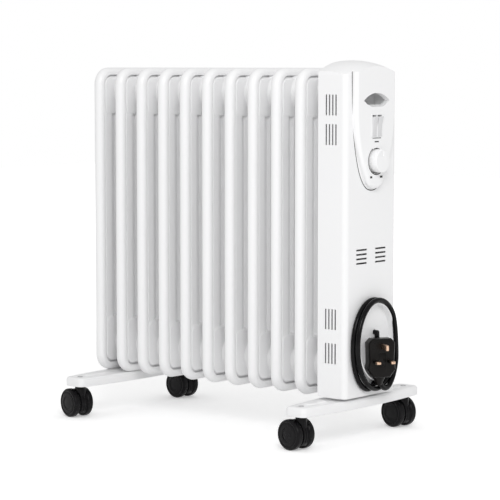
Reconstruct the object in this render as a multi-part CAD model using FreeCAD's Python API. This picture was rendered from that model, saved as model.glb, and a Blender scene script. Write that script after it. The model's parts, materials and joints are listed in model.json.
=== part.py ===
import FreeCAD, Part
import math
import os

# Oil filled radiator heater on casters. Millimetres, +Z up, +X towards the control end,
# -Y is the front. Every length below can be changed by itself.

# ---------------------------------------------------------------- driving dimensions
fin_count = 10
fin_pitch = 45.0
fin_depth = 123.0
fin_bottom = 64.0
fin_top = 546.0
fin_corner_radius = 26.5
rim_width = 17.0
rim_depth = 11.5
rim_edge = 2.0
web_thickness = 2.4
channel_count = 4
channel_width = 17.0
channel_pitch = 26.5
channel_thickness = 13.0
chamber_margin = 3.0
chamber_thickness = 15.0
rim_overlap = 1.5
lower_chamber_height = 74.0
upper_chamber_height = 60.0
emboss_draft = 3.0
lower_hub_height = 44.0          # above fin_bottom
upper_hub_drop = 38.0            # below fin_top
hub_radius = 23.0
hub_root_radius = 28.0
hub_neck_length = 7.0
hub_bore_radius = 18.0

element_tube_radius = 4.25
element_tube_spread = 9.0
element_bend_radius = 5.5
element_reach = 360.0
port_length = 47.0
port_wall = 3.5
flange_radius = 27.0
flange_thickness = 6.0
terminal_length = 8.0
terminal_half = 3.0
cutout_offset = 8.5              # from the box's fin side
cutout_radius = 5.5
cutout_height = 7.0
saddle_length = 11.0
saddle_half_width = 12.0
saddle_thickness = 1.2
filler_washer_radius = 11.0
filler_washer_height = 2.5
filler_head_side = 13.0
filler_head_height = 7.0
stud_spacing = 30.0
stud_drop = 24.0                 # below the upper hub
stud_radius = 3.0
stud_nut_height = 4.5

box_gap = 38.8                   # last fin's middle to the box
box_length = 50.7
box_depth = 123.0
box_bottom_rise = 3.8            # above fin_bottom
box_top_drop = 10.3              # below fin_top
box_corner_radius = 8.3
sheet_thickness = 1.2
lip_width = 10.0
dimple_reach = 42.0
dimple_radius = 8.0
dimple_root_radius = 10.0
block_rise = 128.2               # terminal block, above box_bottom
block_height = 16.0
block_depth = 12.0
block_half_width = 18.0
block_well_radius = 3.2
block_well_pitch = 11.0

side_slot_count = 4
side_slot_pitch = 5.8
side_slot_width = 2.6
side_slot_height = 30.0
side_slot_shift = -2.0
side_slot_rises = (50.2, 100.2)  # above box_bottom
side_slot_drops = (100.2, 57.7)  # below box_top
end_slot_count = 4
end_slot_pitch = 6.5
end_slot_height = 2.6
end_slot_length = 26.0
end_slot_offset = 23.0
end_slot_rise = 194.2            # above box_bottom

panel_wall = 2.5
panel_bulge = 9.0
tongue_half_width = 47.0
tongue_root_drop = 50.7          # below box_top
tongue_drop = 114.0
tongue_tip_radius = 22.0
tongue_edge_radius = 5.0
crown_rise = 21.3                # above box_top
crown_radius = 130.0
crown_offset = 14.0

grip_half_width = 31.0
grip_drop = 36.7                 # below box_top
grip_rise = 11.0
grip_fall = 10.5
grip_radius = 22.0
grip_offset = 2.0

switch_drop = 73.1               # below box_top
switch_pitch = 12.6
rocker_width = 9.9
rocker_half_height = 15.2
rocker_thickness = 9.0
rocker_dish = 1.6
rocker_taper = 4.0
rocker_tilt = 8.0
rocker_gap = 0.4
pivot_setback = 4.0
frame_border = 0.8
frame_lip = 1.0
window_overlap = 0.3
window_fit = 0.1
switch_depth = 20.0
switch_floor = 2.0
tab_length = 7.0
tab_half = 1.8

knob_drop = 123.9                # below box_top
knob_radius = 17.0
knob_gap = 1.8
knob_height = 17.0
knob_proud = 12.0
knob_wall = 2.2
knob_edge_radius = 1.5
knob_socket_setback = 3.0
pointer_depth = 0.8
pointer_width = 1.6
spindle_radius = 3.0
spindle_setback = 3.0
thermostat_side = 30.0
thermostat_depth = 12.0
thermostat_nose = 3.0
boss_radius = 3.0
ear_half_width = 6.0
thermostat_gap = 1.0

tray_half_width = 44.7
tray_half_height = 56.9
tray_middle_y = 1.2
tray_rise = 79.7                 # above box_bottom
tray_height = 12.0
tray_wall = 2.2
tray_floor = 1.2

cord_diameter = 7.5
coil_outer_half_width = 52.6
coil_outer_half_height = 69.6
coil_middle_y = 1.2
coil_rise = 74.9                 # above box_bottom
coil_inner_half_width = 45.1
coil_inner_half_height = 57.3
coil_depth = 16.0

plug_width = 41.0
plug_height = 57.1
plug_thickness = 20.0
plug_rise = 29.2                 # above box_bottom
plug_turn = -33.0
plug_back_x = 11.8               # from the end face
plug_back_y = 0.8
plug_neck_half_width = 13.0
plug_corner = 6.0
plug_waist = 1.2
plug_waist_rise = 23.8
plug_swell = 1.0
plug_swell_rise = 12.0
cord_entry = 7.0                 # from the plug's back
sleeve_length = 9.0
fuse_recess = 1.2
fuse_half_width = 5.2
fuse_low = 17.5
fuse_length = 18.0
pin_row_drop = 22.2
pin_half_spacing = 11.1
earth_pin = (22.7, 4.0, 8.0)
live_pin = (17.7, 6.35, 4.0)
earth_pin_height = 46.0          # above plug_bottom

gland_y = 7.5
gland_stand = 6.0
gland_rise = 78.2                # above box_bottom
gland_height = 14.0
gland_radius = 3.4
gland_sleeve_radius = 3.9
gland_collar_depth = 6.0

foot_width = 56.0
foot_end_width = 38.0
foot_half_length = 142.0
right_foot_setback = 20.2        # from the box's fin side
foot_skirt = 13.7
foot_sheet = 1.5
foot_corner_radius = 9.5
foot_edge = 2.5
foot_rib_gap = 8.0
foot_rib_length = 44.0
foot_rib_width = 13.0
foot_rib_height = 1.4
rest_gap = 0.3

bolt_radius = 3.0
bolt_clearance = 0.4
bolt_tail = 10.0
nut_radius = 6.0
nut_height = 6.0
wing_span = 23.0
wing_height = 7.0
wing_thickness = 2.4
wing_root = 3.0
wing_tip_length = 4.0
wing_tip_drop = 3.0

caster_reach = 125.3
caster_trail = 10.0
caster_turns = (("front_left", -12.0), ("rear_left", -4.0), ("front_right", -7.5), ("rear_right", -11.0))
wheel_radius = 22.5
wheel_width = 12.0
wheel_dome = 1.6
wheel_flat_share = 0.55
tread_bevel = 1.8
axle_cover = 2.5
hood_width = 10.8
hood_radius = 21.6
hood_clearance = 7.0
hood_boss_radius = 8.0
hood_boss_root = 30.0
rib_proud = 0.7
rib_half = 0.6
side_play = 0.6
axle_radius = 3.0
stem_radius = 4.0
running_gap = 0.05
socket_wall = 1.8

screw_margin = 24.0              # from the box's ends
screw_length = 6.0
screw_radius = 2.0
screw_head_radius = 3.6
screw_head_height = 2.2

# ---------------------------------------------------------------- derived places
bracket_top = fin_bottom - rest_gap
bracket_bottom = bracket_top - foot_skirt
lower_hub_z = fin_bottom + lower_hub_height
upper_hub_z = fin_top - upper_hub_drop
stud_z = upper_hub_z - stud_drop
box_bottom = fin_bottom + box_bottom_rise
box_top = fin_top - box_top_drop
crown_top = box_top + crown_rise
tongue_root = box_top - tongue_root_drop
grip_middle = box_top - grip_drop
switch_middle = box_top - switch_drop
knob_middle = box_top - knob_drop
side_slot_bottoms = ([box_bottom + rise for rise in side_slot_rises]
                     + [box_top - drop for drop in side_slot_drops])
end_slot_lowest = box_bottom + end_slot_rise
tray_middle_z = box_bottom + tray_rise
coil_middle_z = box_bottom + coil_rise
plug_bottom = box_bottom + plug_rise
gland_exit_z = box_bottom + gland_rise
screw_heights = (box_bottom + screw_margin, (box_bottom + box_top) / 2, box_top - screw_margin)
stack_length = (fin_count - 1) * fin_pitch
left_foot_offset = fin_pitch / 2
box_start_offset = stack_length + box_gap
box_end_offset = box_start_offset + box_length
right_foot_offset = box_start_offset + right_foot_setback
widest_left = min(-rim_width / 2, left_foot_offset - caster_trail - wheel_radius)
widest_right = box_end_offset + panel_bulge + knob_proud
fin_x = -(widest_left + widest_right) / 2
last_fin_x = fin_x + stack_length
box_x = fin_x + box_start_offset
end_x = fin_x + box_end_offset
panel_x = end_x + panel_bulge
left_foot_x = fin_x + left_foot_offset
right_foot_x = fin_x + right_foot_offset
hub_half = fin_pitch / 2


def vec(x, y, z):
    return FreeCAD.Vector(x, y, z)


def export(shape, name):
    shape.exportStep("parts/" + name + ".step")


def fuse(shapes):
    result = shapes[0]
    if len(shapes) > 1:
        result = result.multiFuse(shapes[1:])
    return result.removeSplitter()


def box(x0, x1, y0, y1, z0, z1):
    return Part.makeBox(x1 - x0, y1 - y0, z1 - z0, vec(x0, y0, z0))


def cylinder_x(radius, x0, x1, y, z):
    return Part.makeCylinder(radius, x1 - x0, vec(x0, y, z), vec(1, 0, 0))


def cylinder_y(radius, y0, y1, x, z):
    return Part.makeCylinder(radius, y1 - y0, vec(x, y0, z), vec(0, 1, 0))


def cylinder_z(radius, z0, z1, x, y):
    return Part.makeCylinder(radius, z1 - z0, vec(x, y, z0), vec(0, 0, 1))


def rounded_outline(u0, u1, v0, v1, radius, place):
    """Closed wire of a rounded rectangle; place(u, v) gives the point in space."""
    corners = ((u1 - radius, v1 - radius, 0), (u0 + radius, v1 - radius, 90),
               (u0 + radius, v0 + radius, 180), (u1 - radius, v0 + radius, 270))
    arcs = []
    for u, v, start in corners:
        points = []
        for step in (0, 45, 90):
            angle = math.radians(start + step)
            points.append(place(u + radius * math.cos(angle), v + radius * math.sin(angle)))
        arcs.append(points)
    edges = []
    for index, points in enumerate(arcs):
        edges.append(Part.Arc(*points).toShape())
        following = arcs[(index + 1) % 4][0]
        if points[2].distanceToPoint(following) > 1e-6:
            edges.append(Part.LineSegment(points[2], following).toShape())
    return Part.Wire(edges)


def outline_yz(half_width, z0, z1, radius, x, y=0.0):
    return rounded_outline(y - half_width, y + half_width, z0, z1, radius, lambda u, v: vec(x, u, v))


def outline_xy(x0, x1, y0, y1, radius, z):
    return rounded_outline(x0, x1, y0, y1, radius, lambda u, v: vec(u, v, z))


def prism(wire, direction):
    return Part.Face(wire).extrude(direction)


def revolve_x(points, x, y, z):
    """Turn a closed (along, radius) profile about the line through y, z along X."""
    wire = Part.makePolygon([vec(x + along, y, z + radius) for along, radius in points + points[:1]])
    return Part.Face(wire).revolve(vec(x, y, z), vec(1, 0, 0), 360)


def chamfered(shape, size, axis, levels):
    """Chamfer every edge that lies wholly at one of the levels along an axis."""
    edges = []
    for edge in shape.Edges:
        bounds = edge.BoundBox
        low, high = getattr(bounds, axis + "Min"), getattr(bounds, axis + "Max")
        if any(abs(low - level) < 1e-3 and abs(high - level) < 1e-3 for level in levels):
            edges.append(edge)
    return shape.makeChamfer(size, edges)


def mirrored(shape, axis):
    return shape.mirror(vec(0, 0, 0), vec(*axis))


def u_rod(radius, legs_start, legs_end, bend, place):
    """Round rod bent to a U: two straight legs along u, joined by half a ring of radius bend.

    place(u, v) gives the point in space; the legs lie at v = -bend and v = bend.
    """
    along = place(legs_end, 0) - place(legs_start, 0)
    across = place(legs_start, 1) - place(legs_start, 0)
    length = along.Length
    pieces = []
    for side in (-1, 1):
        pieces.append(Part.makeCylinder(radius, length, place(legs_start, side * bend), along))
    section = Part.Face(Part.Wire([Part.makeCircle(radius, place(legs_end, bend), along)]))
    pieces.append(section.revolve(place(legs_end, 0), across.cross(along), 180))
    return fuse(pieces)


# ---------------------------------------------------------------- fins
def fin_rim(x):
    """The rolled rim round a fin: a flat band with eased edges, carried round the outline."""
    half = rim_width / 2
    inner = fin_top - rim_depth
    points = [vec(x - half, 0, inner), vec(x - half, 0, fin_top - rim_edge),
              vec(x - half + rim_edge, 0, fin_top), vec(x + half - rim_edge, 0, fin_top),
              vec(x + half, 0, fin_top - rim_edge), vec(x + half, 0, inner)]
    section = Part.Face(Part.makePolygon(points + points[:1]))
    flat = fin_depth / 2 - fin_corner_radius
    middle = (fin_bottom + fin_top) / 2
    drop = fin_top - fin_corner_radius - middle
    top = section.extrude(vec(0, flat, 0))
    section.translate(vec(0, flat, 0))
    corner = section.revolve(vec(x, flat, fin_top - fin_corner_radius), vec(1, 0, 0), -90)
    section.rotate(vec(x, flat, fin_top - fin_corner_radius), vec(1, 0, 0), -90)
    side = section.extrude(vec(0, 0, -drop))
    quarter = fuse([top, corner, side])
    upper = fuse([quarter, mirrored(quarter, (0, 1, 0))])
    lower = mirrored(upper, (0, 0, 1))
    lower.translate(vec(0, 0, 2 * middle))
    return fuse([upper, lower])


def header_chamber(x, half_width, z0, z1, radius):
    """The pressed-out chamber round a header, standing out of both faces of a fin."""
    half = chamber_thickness / 2
    block = prism(outline_yz(half_width, z0, z1, radius, x - half), vec(chamber_thickness, 0, 0))
    return chamfered(block, emboss_draft, "X", (x - half, x + half))


def oil_channel(x, y, z0, z1):
    """A drafted upright channel between the two chambers."""
    crest = channel_thickness / 2
    half = channel_width / 2
    top = half - emboss_draft
    profile = [(-half, 0), (-top, crest), (top, crest), (half, 0), (top, -crest), (-top, -crest)]
    points = [vec(x + out, y + across, z0) for across, out in profile]
    return prism(Part.makePolygon(points + points[:1]), vec(0, 0, z1 - z0))


def hub(x, z, side):
    """A drawn collar that reaches half way to the next fin."""
    neck = chamber_thickness / 2
    profile = [(0, 0), (0, hub_root_radius), (side * neck, hub_root_radius),
               (side * (neck + hub_neck_length), hub_radius), (side * hub_half, hub_radius),
               (side * hub_half, 0)]
    return revolve_x(profile, x, 0, z)


def fin(x, first, last):
    inner_half = fin_depth / 2 - rim_depth
    inner_radius = fin_corner_radius - rim_depth
    web = prism(outline_yz(inner_half + rim_overlap, fin_bottom + rim_depth - rim_overlap,
                           fin_top - rim_depth + rim_overlap, inner_radius + rim_overlap,
                           x - web_thickness / 2), vec(web_thickness, 0, 0))
    chamber_half = inner_half - chamber_margin
    low = fin_bottom + rim_depth + chamber_margin
    high = fin_top - rim_depth - chamber_margin
    pieces = [web, fin_rim(x),
              header_chamber(x, chamber_half, low, low + lower_chamber_height, inner_radius),
              header_chamber(x, chamber_half, high - upper_chamber_height, high, inner_radius)]
    for index in range(channel_count):
        y = (index - (channel_count - 1) / 2) * channel_pitch
        pieces.append(oil_channel(x, y, low + lower_chamber_height / 2, high - upper_chamber_height / 2))
    bores = []
    for z in (lower_hub_z, upper_hub_z):
        closed_right = last and z == upper_hub_z
        start = x - web_thickness if first else x - hub_half
        stop = x + web_thickness if closed_right else x + hub_half
        if not first:
            pieces.append(hub(x, z, -1))
        if not closed_right:
            pieces.append(hub(x, z, 1))
        bores.append(cylinder_x(hub_bore_radius, start, stop, 0, z))
    return fuse(pieces).cut(bores[0].fuse(bores[1]))


# ---------------------------------------------------------------- heating element
def element_port():
    """Threaded steel neck welded to the last fin, which takes the heating element."""
    start = last_fin_x + hub_half
    tube = cylinder_x(hub_radius, start, start + port_length, 0, lower_hub_z)
    return tube.cut(cylinder_x(hub_radius - port_wall, start, start + port_length, 0, lower_hub_z))


def heating_element():
    """Two hairpins of sheathed tube, one beside the other, in the lower header."""
    start = last_fin_x + hub_half + port_length
    tip = start - element_reach
    hairpins = []
    for y in (-element_tube_spread, element_tube_spread):
        hairpins.append(u_rod(element_tube_radius, start, tip, element_bend_radius,
                              lambda u, v, y=y: vec(u, y, lower_hub_z + v)))
    return Part.makeCompound(hairpins)


def element_flange():
    """Screwed head of the element with its hexagon and four terminal tabs."""
    start = last_fin_x + hub_half + port_length
    head = hexagon_x(flange_radius, start, start + flange_thickness, 0, lower_hub_z)
    pieces = [head]
    for y in (-element_tube_spread, element_tube_spread):
        for z in (-element_bend_radius, element_bend_radius):
            pieces.append(box(start + flange_thickness - 1, start + flange_thickness + terminal_length,
                              y - terminal_half, y + terminal_half,
                              lower_hub_z + z - 0.5, lower_hub_z + z + 0.5))
    return fuse(pieces)


def oil_filler_plug():
    """Square-headed plug in the closed side of the last fin's upper hub."""
    seat = last_fin_x + chamber_thickness / 2
    washer = cylinder_x(filler_washer_radius, seat, seat + filler_washer_height, 0, upper_hub_z)
    half = filler_head_side / 2
    head = box(seat + filler_washer_height, seat + filler_washer_height + filler_head_height, -half, half,
               upper_hub_z - half, upper_hub_z + half)
    return fuse([washer, head])


def hexagon_x(radius, x0, x1, y, z):
    corners = []
    for step in range(6):
        angle = math.radians(60 * step)
        corners.append(vec(x0, y + radius * math.cos(angle), z + radius * math.sin(angle)))
    return prism(Part.makePolygon(corners + corners[:1]), vec(x1 - x0, 0, 0))


def hanger_studs():
    """Two welded spacers with studs and nuts that hold the box's back plate to the last fin."""
    seat = last_fin_x + chamber_thickness / 2
    nut_seat = box_x + sheet_thickness
    studs = []
    for y in (-stud_spacing / 2, stud_spacing / 2):
        spacer = cylinder_x(stud_radius + 2, seat, box_x, y, stud_z)
        shank = cylinder_x(stud_radius, box_x, nut_seat + stud_nut_height + 2, y, stud_z)
        nut = hexagon_x(stud_radius * 1.9, nut_seat, nut_seat + stud_nut_height, y, stud_z)
        studs.append(fuse([spacer, shank, nut]))
    return Part.makeCompound(studs)


def thermal_cutout():
    """Disc cut-out clipped against the element port."""
    z = lower_hub_z + hub_radius
    x = box_x + cutout_offset
    tab = cutout_radius + 1
    cup = cylinder_z(cutout_radius, z, z + cutout_height, x, 0)
    tabs = box(x - tab, x + tab, -terminal_half, terminal_half, z + cutout_height, z + cutout_height + 1)
    half = saddle_length / 2
    saddle = box(x - half, x + half, -saddle_half_width, saddle_half_width, z - saddle_thickness / 2,
                 z + saddle_thickness).cut(cylinder_x(hub_radius, x - half, x + half, 0, lower_hub_z))
    return fuse([cup, tabs, saddle])


# ---------------------------------------------------------------- control box
def box_shape(inset, z0, z1):
    """The box's plan, square towards the fins and rounded at the end face's corners."""
    half = box_depth / 2 - inset
    radius = box_corner_radius - inset
    x0 = box_x
    x1 = end_x - inset
    root = math.sqrt(0.5)
    points = [vec(x0, -half, z0), vec(x1 - radius, -half, z0), vec(x1, -half + radius, z0),
              vec(x1, half - radius, z0), vec(x1 - radius, half, z0), vec(x0, half, z0)]
    mid_front = vec(x1 - radius + radius * root, -half + radius - radius * root, z0)
    mid_back = vec(x1 - radius + radius * root, half - radius + radius * root, z0)
    wire = Part.Wire([Part.LineSegment(points[0], points[1]).toShape(),
                      Part.Arc(points[1], mid_front, points[2]).toShape(),
                      Part.LineSegment(points[2], points[3]).toShape(),
                      Part.Arc(points[3], mid_back, points[4]).toShape(),
                      Part.LineSegment(points[4], points[5]).toShape(),
                      Part.LineSegment(points[5], points[0]).toShape()])
    return prism(wire, vec(0, 0, z1 - z0))


def tongue_outline(x, inset, top):
    """The tongue's edge: two shallow side arcs that run into a small arc at the tip."""
    half = tongue_half_width - inset
    drop = tongue_drop - inset
    tip = tongue_tip_radius - inset
    side = (half ** 2 + drop ** 2 - 2 * drop * tip) / (2 * (half - tip))
    side_centre = half - side
    tip_z = tongue_root - drop + tip
    run = side - tip
    touch = (-side_centre / run, (tip_z - tongue_root) / run)

    def on_side(sign, fraction):
        angle = math.atan2(touch[1], touch[0]) * fraction
        return vec(x, sign * (side_centre + side * math.cos(angle)), tongue_root + side * math.sin(angle))

    left = [on_side(-1, fraction) for fraction in (0, 0.5, 1)]
    right = [on_side(1, fraction) for fraction in (0, 0.5, 1)]
    bottom = vec(x, 0, tongue_root - drop)
    corners = [vec(x, -half, top), vec(x, half, top)]
    return Part.Wire([Part.LineSegment(corners[0], left[0]).toShape(), Part.Arc(*left).toShape(),
                      Part.Arc(left[2], bottom, right[2]).toShape(),
                      Part.Arc(right[2], right[1], right[0]).toShape(),
                      Part.LineSegment(right[0], corners[1]).toShape(),
                      Part.LineSegment(corners[1], corners[0]).toShape()])


def box_cover():
    """One folded sheet: front, end and back, with louvre slots and lips at the open edges."""
    cover = box_shape(0, box_bottom, box_top).cut(
        box_shape(sheet_thickness, box_bottom - 1, box_top + 1))
    reach = box_depth / 2 + 1
    cuts = [cylinder_y(screw_radius + 0.15, 0, reach, box_x + lip_width / 2, z) for z in screw_heights]
    first_slot = box_x + (box_length - (side_slot_count - 1) * side_slot_pitch) / 2 + side_slot_shift
    for bottom in side_slot_bottoms:
        for index in range(side_slot_count):
            x = first_slot + index * side_slot_pitch
            cuts.append(box(x - side_slot_width / 2, x + side_slot_width / 2, -reach, reach,
                            bottom, bottom + side_slot_height))
    for side in (-1, 1):
        for index in range(end_slot_count):
            z = end_slot_lowest + index * end_slot_pitch
            y = side * end_slot_offset
            cuts.append(box(end_x - 5, end_x + 1, y - end_slot_length / 2, y + end_slot_length / 2,
                            z, z + end_slot_height))
    window = prism(tongue_outline(end_x - 5, panel_wall + 4, box_top + 1), vec(10, 0, 0))
    gland_hole = cylinder_x(gland_radius + rest_gap, end_x - 5, end_x + 1, gland_y, gland_centre_z())
    cover = cover.cut(Part.makeCompound(cuts + [gland_hole]))
    return cover.cut(window)


def back_plate():
    """Flanged plate that closes the box towards the fins and carries everything in it."""
    half = box_depth / 2 - sheet_thickness - rest_gap
    low = box_bottom + sheet_thickness + 0.2
    plate = box(box_x, box_x + sheet_thickness, -half, half, low, box_top)
    lips = []
    for side in (-1, 1):
        edge = side * half
        inner = edge - side * sheet_thickness
        lips.append(box(box_x, box_x + lip_width, min(edge, inner), max(edge, inner), low, box_top))
    shape = fuse([plate] + lips)
    holes = [cylinder_x(hub_radius + rest_gap, box_x - 5, box_x + 5, 0, lower_hub_z)]
    for z in screw_heights:
        holes.append(cylinder_y(screw_radius, 0, half + 1, box_x + lip_width / 2, z))
    for y in (-stud_spacing / 2, stud_spacing / 2):
        holes.append(cylinder_x(stud_radius + rest_gap, box_x - 5, box_x + 5, y, stud_z))
    return shape.cut(Part.makeCompound(holes))


def box_base():
    """Bottom tray of the box, dimpled down onto the foot, with the U-bolt's holes."""
    plate = box_shape(sheet_thickness + 0.2, box_bottom, box_bottom + sheet_thickness)
    plate = plate.common(box(box_x + 2, end_x, -box_depth, box_depth, box_bottom - 1, box_bottom + 5))
    dimples = []
    for y in (-dimple_reach, dimple_reach):
        dimples.append(Part.makeCone(dimple_radius, dimple_root_radius, box_bottom - bracket_top,
                                     vec(right_foot_x, y, bracket_top)))
    shape = fuse([plate] + dimples)
    holes = []
    for side in (-1, 1):
        holes.append(cylinder_z(bolt_radius + bolt_clearance, box_bottom - 5, box_bottom + 5, right_foot_x,
                                side * bolt_leg_offset()))
    return shape.cut(Part.makeCompound(holes))


def box_screws():
    """Self-tapping screws through the cover's rear side into the back plate's lip."""
    screws = []
    x = box_x + lip_width / 2
    outer = box_depth / 2
    for z in screw_heights:
        shank = cylinder_y(screw_radius, outer - screw_length, outer, x, z)
        head = cylinder_y(screw_head_radius, outer, outer + screw_head_height, x, z)
        screws.append(shank.fuse(head))
    return Part.makeCompound(screws)


def terminal_block():
    """Three-way screw block on the back plate."""
    x = box_x + sheet_thickness
    low = box_bottom + block_rise
    block = box(x, x + block_depth, -block_half_width, block_half_width, low, low + block_height)
    wells = [cylinder_x(block_well_radius, x + block_depth / 2, x + block_depth + 1, y,
                        low + block_height / 2) for y in (-block_well_pitch, 0.0, block_well_pitch)]
    return block.cut(Part.makeCompound(wells))


# ---------------------------------------------------------------- control panel
def crown_cutter(shrink):
    """Everything above the ball that shapes the panel's top."""
    centre = vec(box_x + crown_offset, 0, crown_top - crown_radius)
    ball = Part.makeSphere(crown_radius - shrink, centre)
    block = box(box_x - 60, panel_x + 60, -box_depth, box_depth, box_top - 20, crown_top + 60)
    return block.cut(ball)


def panel_body(inset):
    """Cap and tongue in one: inset 0 gives the outside, the wall gives the hollow."""
    roof = crown_top + 20
    if inset:
        cap = box_shape(inset, box_top - 30, roof).common(
            box(box_x + inset, end_x + 5, -box_depth, box_depth, box_top - 30, roof))
    else:
        cap = box_shape(0, box_top, roof)
    back = end_x if not inset else end_x - 10.0
    front = panel_x - inset
    tongue = prism(tongue_outline(back, inset, roof), vec(front - back, 0, 0))
    rounded = []
    for edge in tongue.Edges:
        middle = edge.valueAt((edge.FirstParameter + edge.LastParameter) / 2)
        if abs(middle.x - front) < 1e-3 and middle.z < roof - 1:
            rounded.append(edge)
    tongue = tongue.makeFillet(tongue_edge_radius - inset / 2, rounded)
    return cap.fuse(tongue).cut(crown_cutter(inset)).removeSplitter()


def grip_outline(x, grow):
    """Lens-shaped mouth of the hand grip."""
    left = vec(x, -grip_half_width - grow, grip_middle)
    right = vec(x, grip_half_width + grow, grip_middle)
    upper = Part.Arc(left, vec(x, 0, grip_middle + grip_rise + grow), right).toShape()
    lower = Part.Arc(right, vec(x, 0, grip_middle - grip_fall - grow), left).toShape()
    return Part.Wire([upper, lower])


def grip_hollow(grow):
    """Room for the finger tips: deepest under the upper lip, run out at the lower one."""
    mouth = prism(grip_outline(panel_x + 2 * grip_offset, grow), vec(-2 * grip_radius, 0, 0))
    reach = grip_half_width + 2 * grow + 1
    barrel = cylinder_y(grip_radius + grow, -reach, reach, panel_x + grip_offset,
                        grip_middle + grip_rise + grip_offset)
    return mouth.common(barrel)


def control_panel():
    """Hollow moulding with its scooped hand grip, knob hole and switch window."""
    shell = panel_body(0).cut(panel_body(panel_wall))
    cup = grip_hollow(panel_wall).common(panel_body(0))
    bosses = []
    for z in (knob_middle - boss_offset(), knob_middle + boss_offset()):
        bosses.append(cylinder_x(boss_radius, thermostat_back() + sheet_thickness,
                                 panel_x - panel_wall / 2, 0, z))
    shell = shell.fuse([cup] + bosses).cut(grip_hollow(0))
    fit = rocker_gap + frame_border - window_overlap + window_fit
    half_w = (switch_pitch + rocker_width) / 2 + fit
    half_h = rocker_half_height + fit
    knob_hole = cylinder_x(knob_radius + knob_gap, panel_x - 20, panel_x + 5, 0, knob_middle)
    window = box(panel_x - 20, panel_x + 5, -half_w, half_w, switch_middle - half_h, switch_middle + half_h)
    return shell.cut(knob_hole.fuse(window)).removeSplitter()


def switch_body(side):
    """Switch case with the raised border that frames the rocker."""
    y = side * switch_pitch / 2
    clear_w = rocker_width / 2 + rocker_gap
    clear_h = rocker_half_height + rocker_gap
    neck_w = clear_w + frame_border - window_overlap
    neck_h = clear_h + frame_border - window_overlap
    back = panel_x - switch_depth
    case = box(back, panel_x, y - neck_w, y + neck_w, switch_middle - neck_h, switch_middle + neck_h)
    border = box(panel_x, panel_x + frame_lip, y - clear_w - frame_border, y + clear_w + frame_border,
                 switch_middle - clear_h - frame_border, switch_middle + clear_h + frame_border)
    well = box(back + switch_floor, panel_x + frame_lip + 1, y - clear_w, y + clear_w,
               switch_middle - clear_h, switch_middle + clear_h)
    tabs = [box(back - tab_length, back, y + off - tab_half, y + off + tab_half,
                switch_middle - 0.4, switch_middle + 0.4) for off in (-1.5 * tab_half, 1.5 * tab_half)]
    return fuse([case.fuse(border).cut(well)] + tabs)


def rocker_pivot():
    return vec(panel_x - pivot_setback, 0, switch_middle)


def rocker(side):
    """Rocker with a dished face, resting in its off position."""
    y = side * switch_pitch / 2
    pivot = rocker_pivot()
    half = rocker_half_height
    y0 = y - rocker_width / 2
    front = panel_x + rocker_dish
    back = panel_x - rocker_thickness
    tip = half - rocker_gap
    face = [vec(front + rocker_dish, y0, pivot.z - tip), vec(front, y0, pivot.z),
            vec(front + rocker_dish, y0, pivot.z + tip)]
    corners = [vec(back, y0, pivot.z + half - rocker_taper), vec(back, y0, pivot.z - half + rocker_taper)]
    wire = Part.Wire([Part.Arc(face[0], face[1], face[2]).toShape(),
                      Part.LineSegment(face[2], corners[0]).toShape(),
                      Part.LineSegment(corners[0], corners[1]).toShape(),
                      Part.LineSegment(corners[1], face[0]).toShape()])
    key = prism(wire, vec(0, rocker_width, 0))
    key.rotate(pivot, vec(0, 1, 0), rocker_tilt)
    return key


def thermostat_body():
    """Capillary thermostat behind the knob, on its bracket."""
    back = thermostat_back()
    half = thermostat_side / 2
    front = back + thermostat_depth
    case = box(back, front, -half, half, knob_middle - half, knob_middle + half)
    nose = cylinder_x(socket_radius(), front, front + thermostat_nose, 0, knob_middle)
    reach = boss_offset() + boss_radius
    ears = box(back, back + sheet_thickness, -ear_half_width, ear_half_width,
               knob_middle - reach, knob_middle + reach)
    bore = cylinder_x(spindle_radius + running_gap, back + spindle_setback - 0.2,
                      front + thermostat_nose + 1, 0, knob_middle)
    return fuse([case, nose, ears]).cut(bore)


def thermostat_spindle():
    """Round spindle; its front end is pressed into the knob."""
    start = thermostat_back() + spindle_setback
    return cylinder_x(spindle_radius, start, panel_x + knob_proud - knob_wall, 0, knob_middle)


def boss_offset():
    """The panel's bosses for the thermostat stand just clear of the knob's hole."""
    return knob_radius + knob_gap + boss_radius + 1.0


def thermostat_back():
    return panel_x + knob_proud - knob_height - thermostat_gap - thermostat_nose - thermostat_depth


def thermostat_knob():
    """Hollow round knob with a rolled rim, a pointer groove and a socket for the spindle."""
    front = panel_x + knob_proud
    back = front - knob_height
    centre = vec(0, 0, knob_middle)
    r = knob_radius
    mid = knob_edge_radius * (1 - math.sqrt(0.5))
    roof = front - knob_wall
    socket_end = back + knob_socket_setback
    points = {"axis_front": (front, 0), "face": (front, r - knob_edge_radius),
              "mid": (front - mid, r - mid), "side": (front - knob_edge_radius, r), "skirt": (back, r),
              "skirt_inner": (back, r - knob_wall), "roof": (roof, r - knob_wall),
              "socket_root": (roof, socket_radius()), "socket_end": (socket_end, socket_radius()),
              "bore_end": (socket_end, spindle_radius), "bore_root": (roof, spindle_radius),
              "axis_back": (roof, 0)}
    place = {name: vec(x, 0, knob_middle + radius) for name, (x, radius) in points.items()}
    edges = [Part.LineSegment(place["axis_front"], place["face"]).toShape(),
             Part.Arc(place["face"], place["mid"], place["side"]).toShape()]
    order = ["side", "skirt", "skirt_inner", "roof", "socket_root", "socket_end", "bore_end", "bore_root",
             "axis_back", "axis_front"]
    for start, stop in zip(order, order[1:]):
        edges.append(Part.LineSegment(place[start], place[stop]).toShape())
    skin = Part.Face(Part.Wire(edges)).revolve(centre, vec(1, 0, 0), 360)
    pointer = box(front - pointer_depth, front + 1, -pointer_width / 2, pointer_width / 2,
                  knob_middle + r * 0.4, knob_middle + r - 2 * knob_edge_radius)
    return skin.cut(pointer)


def socket_radius():
    return spindle_radius + knob_wall


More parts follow.
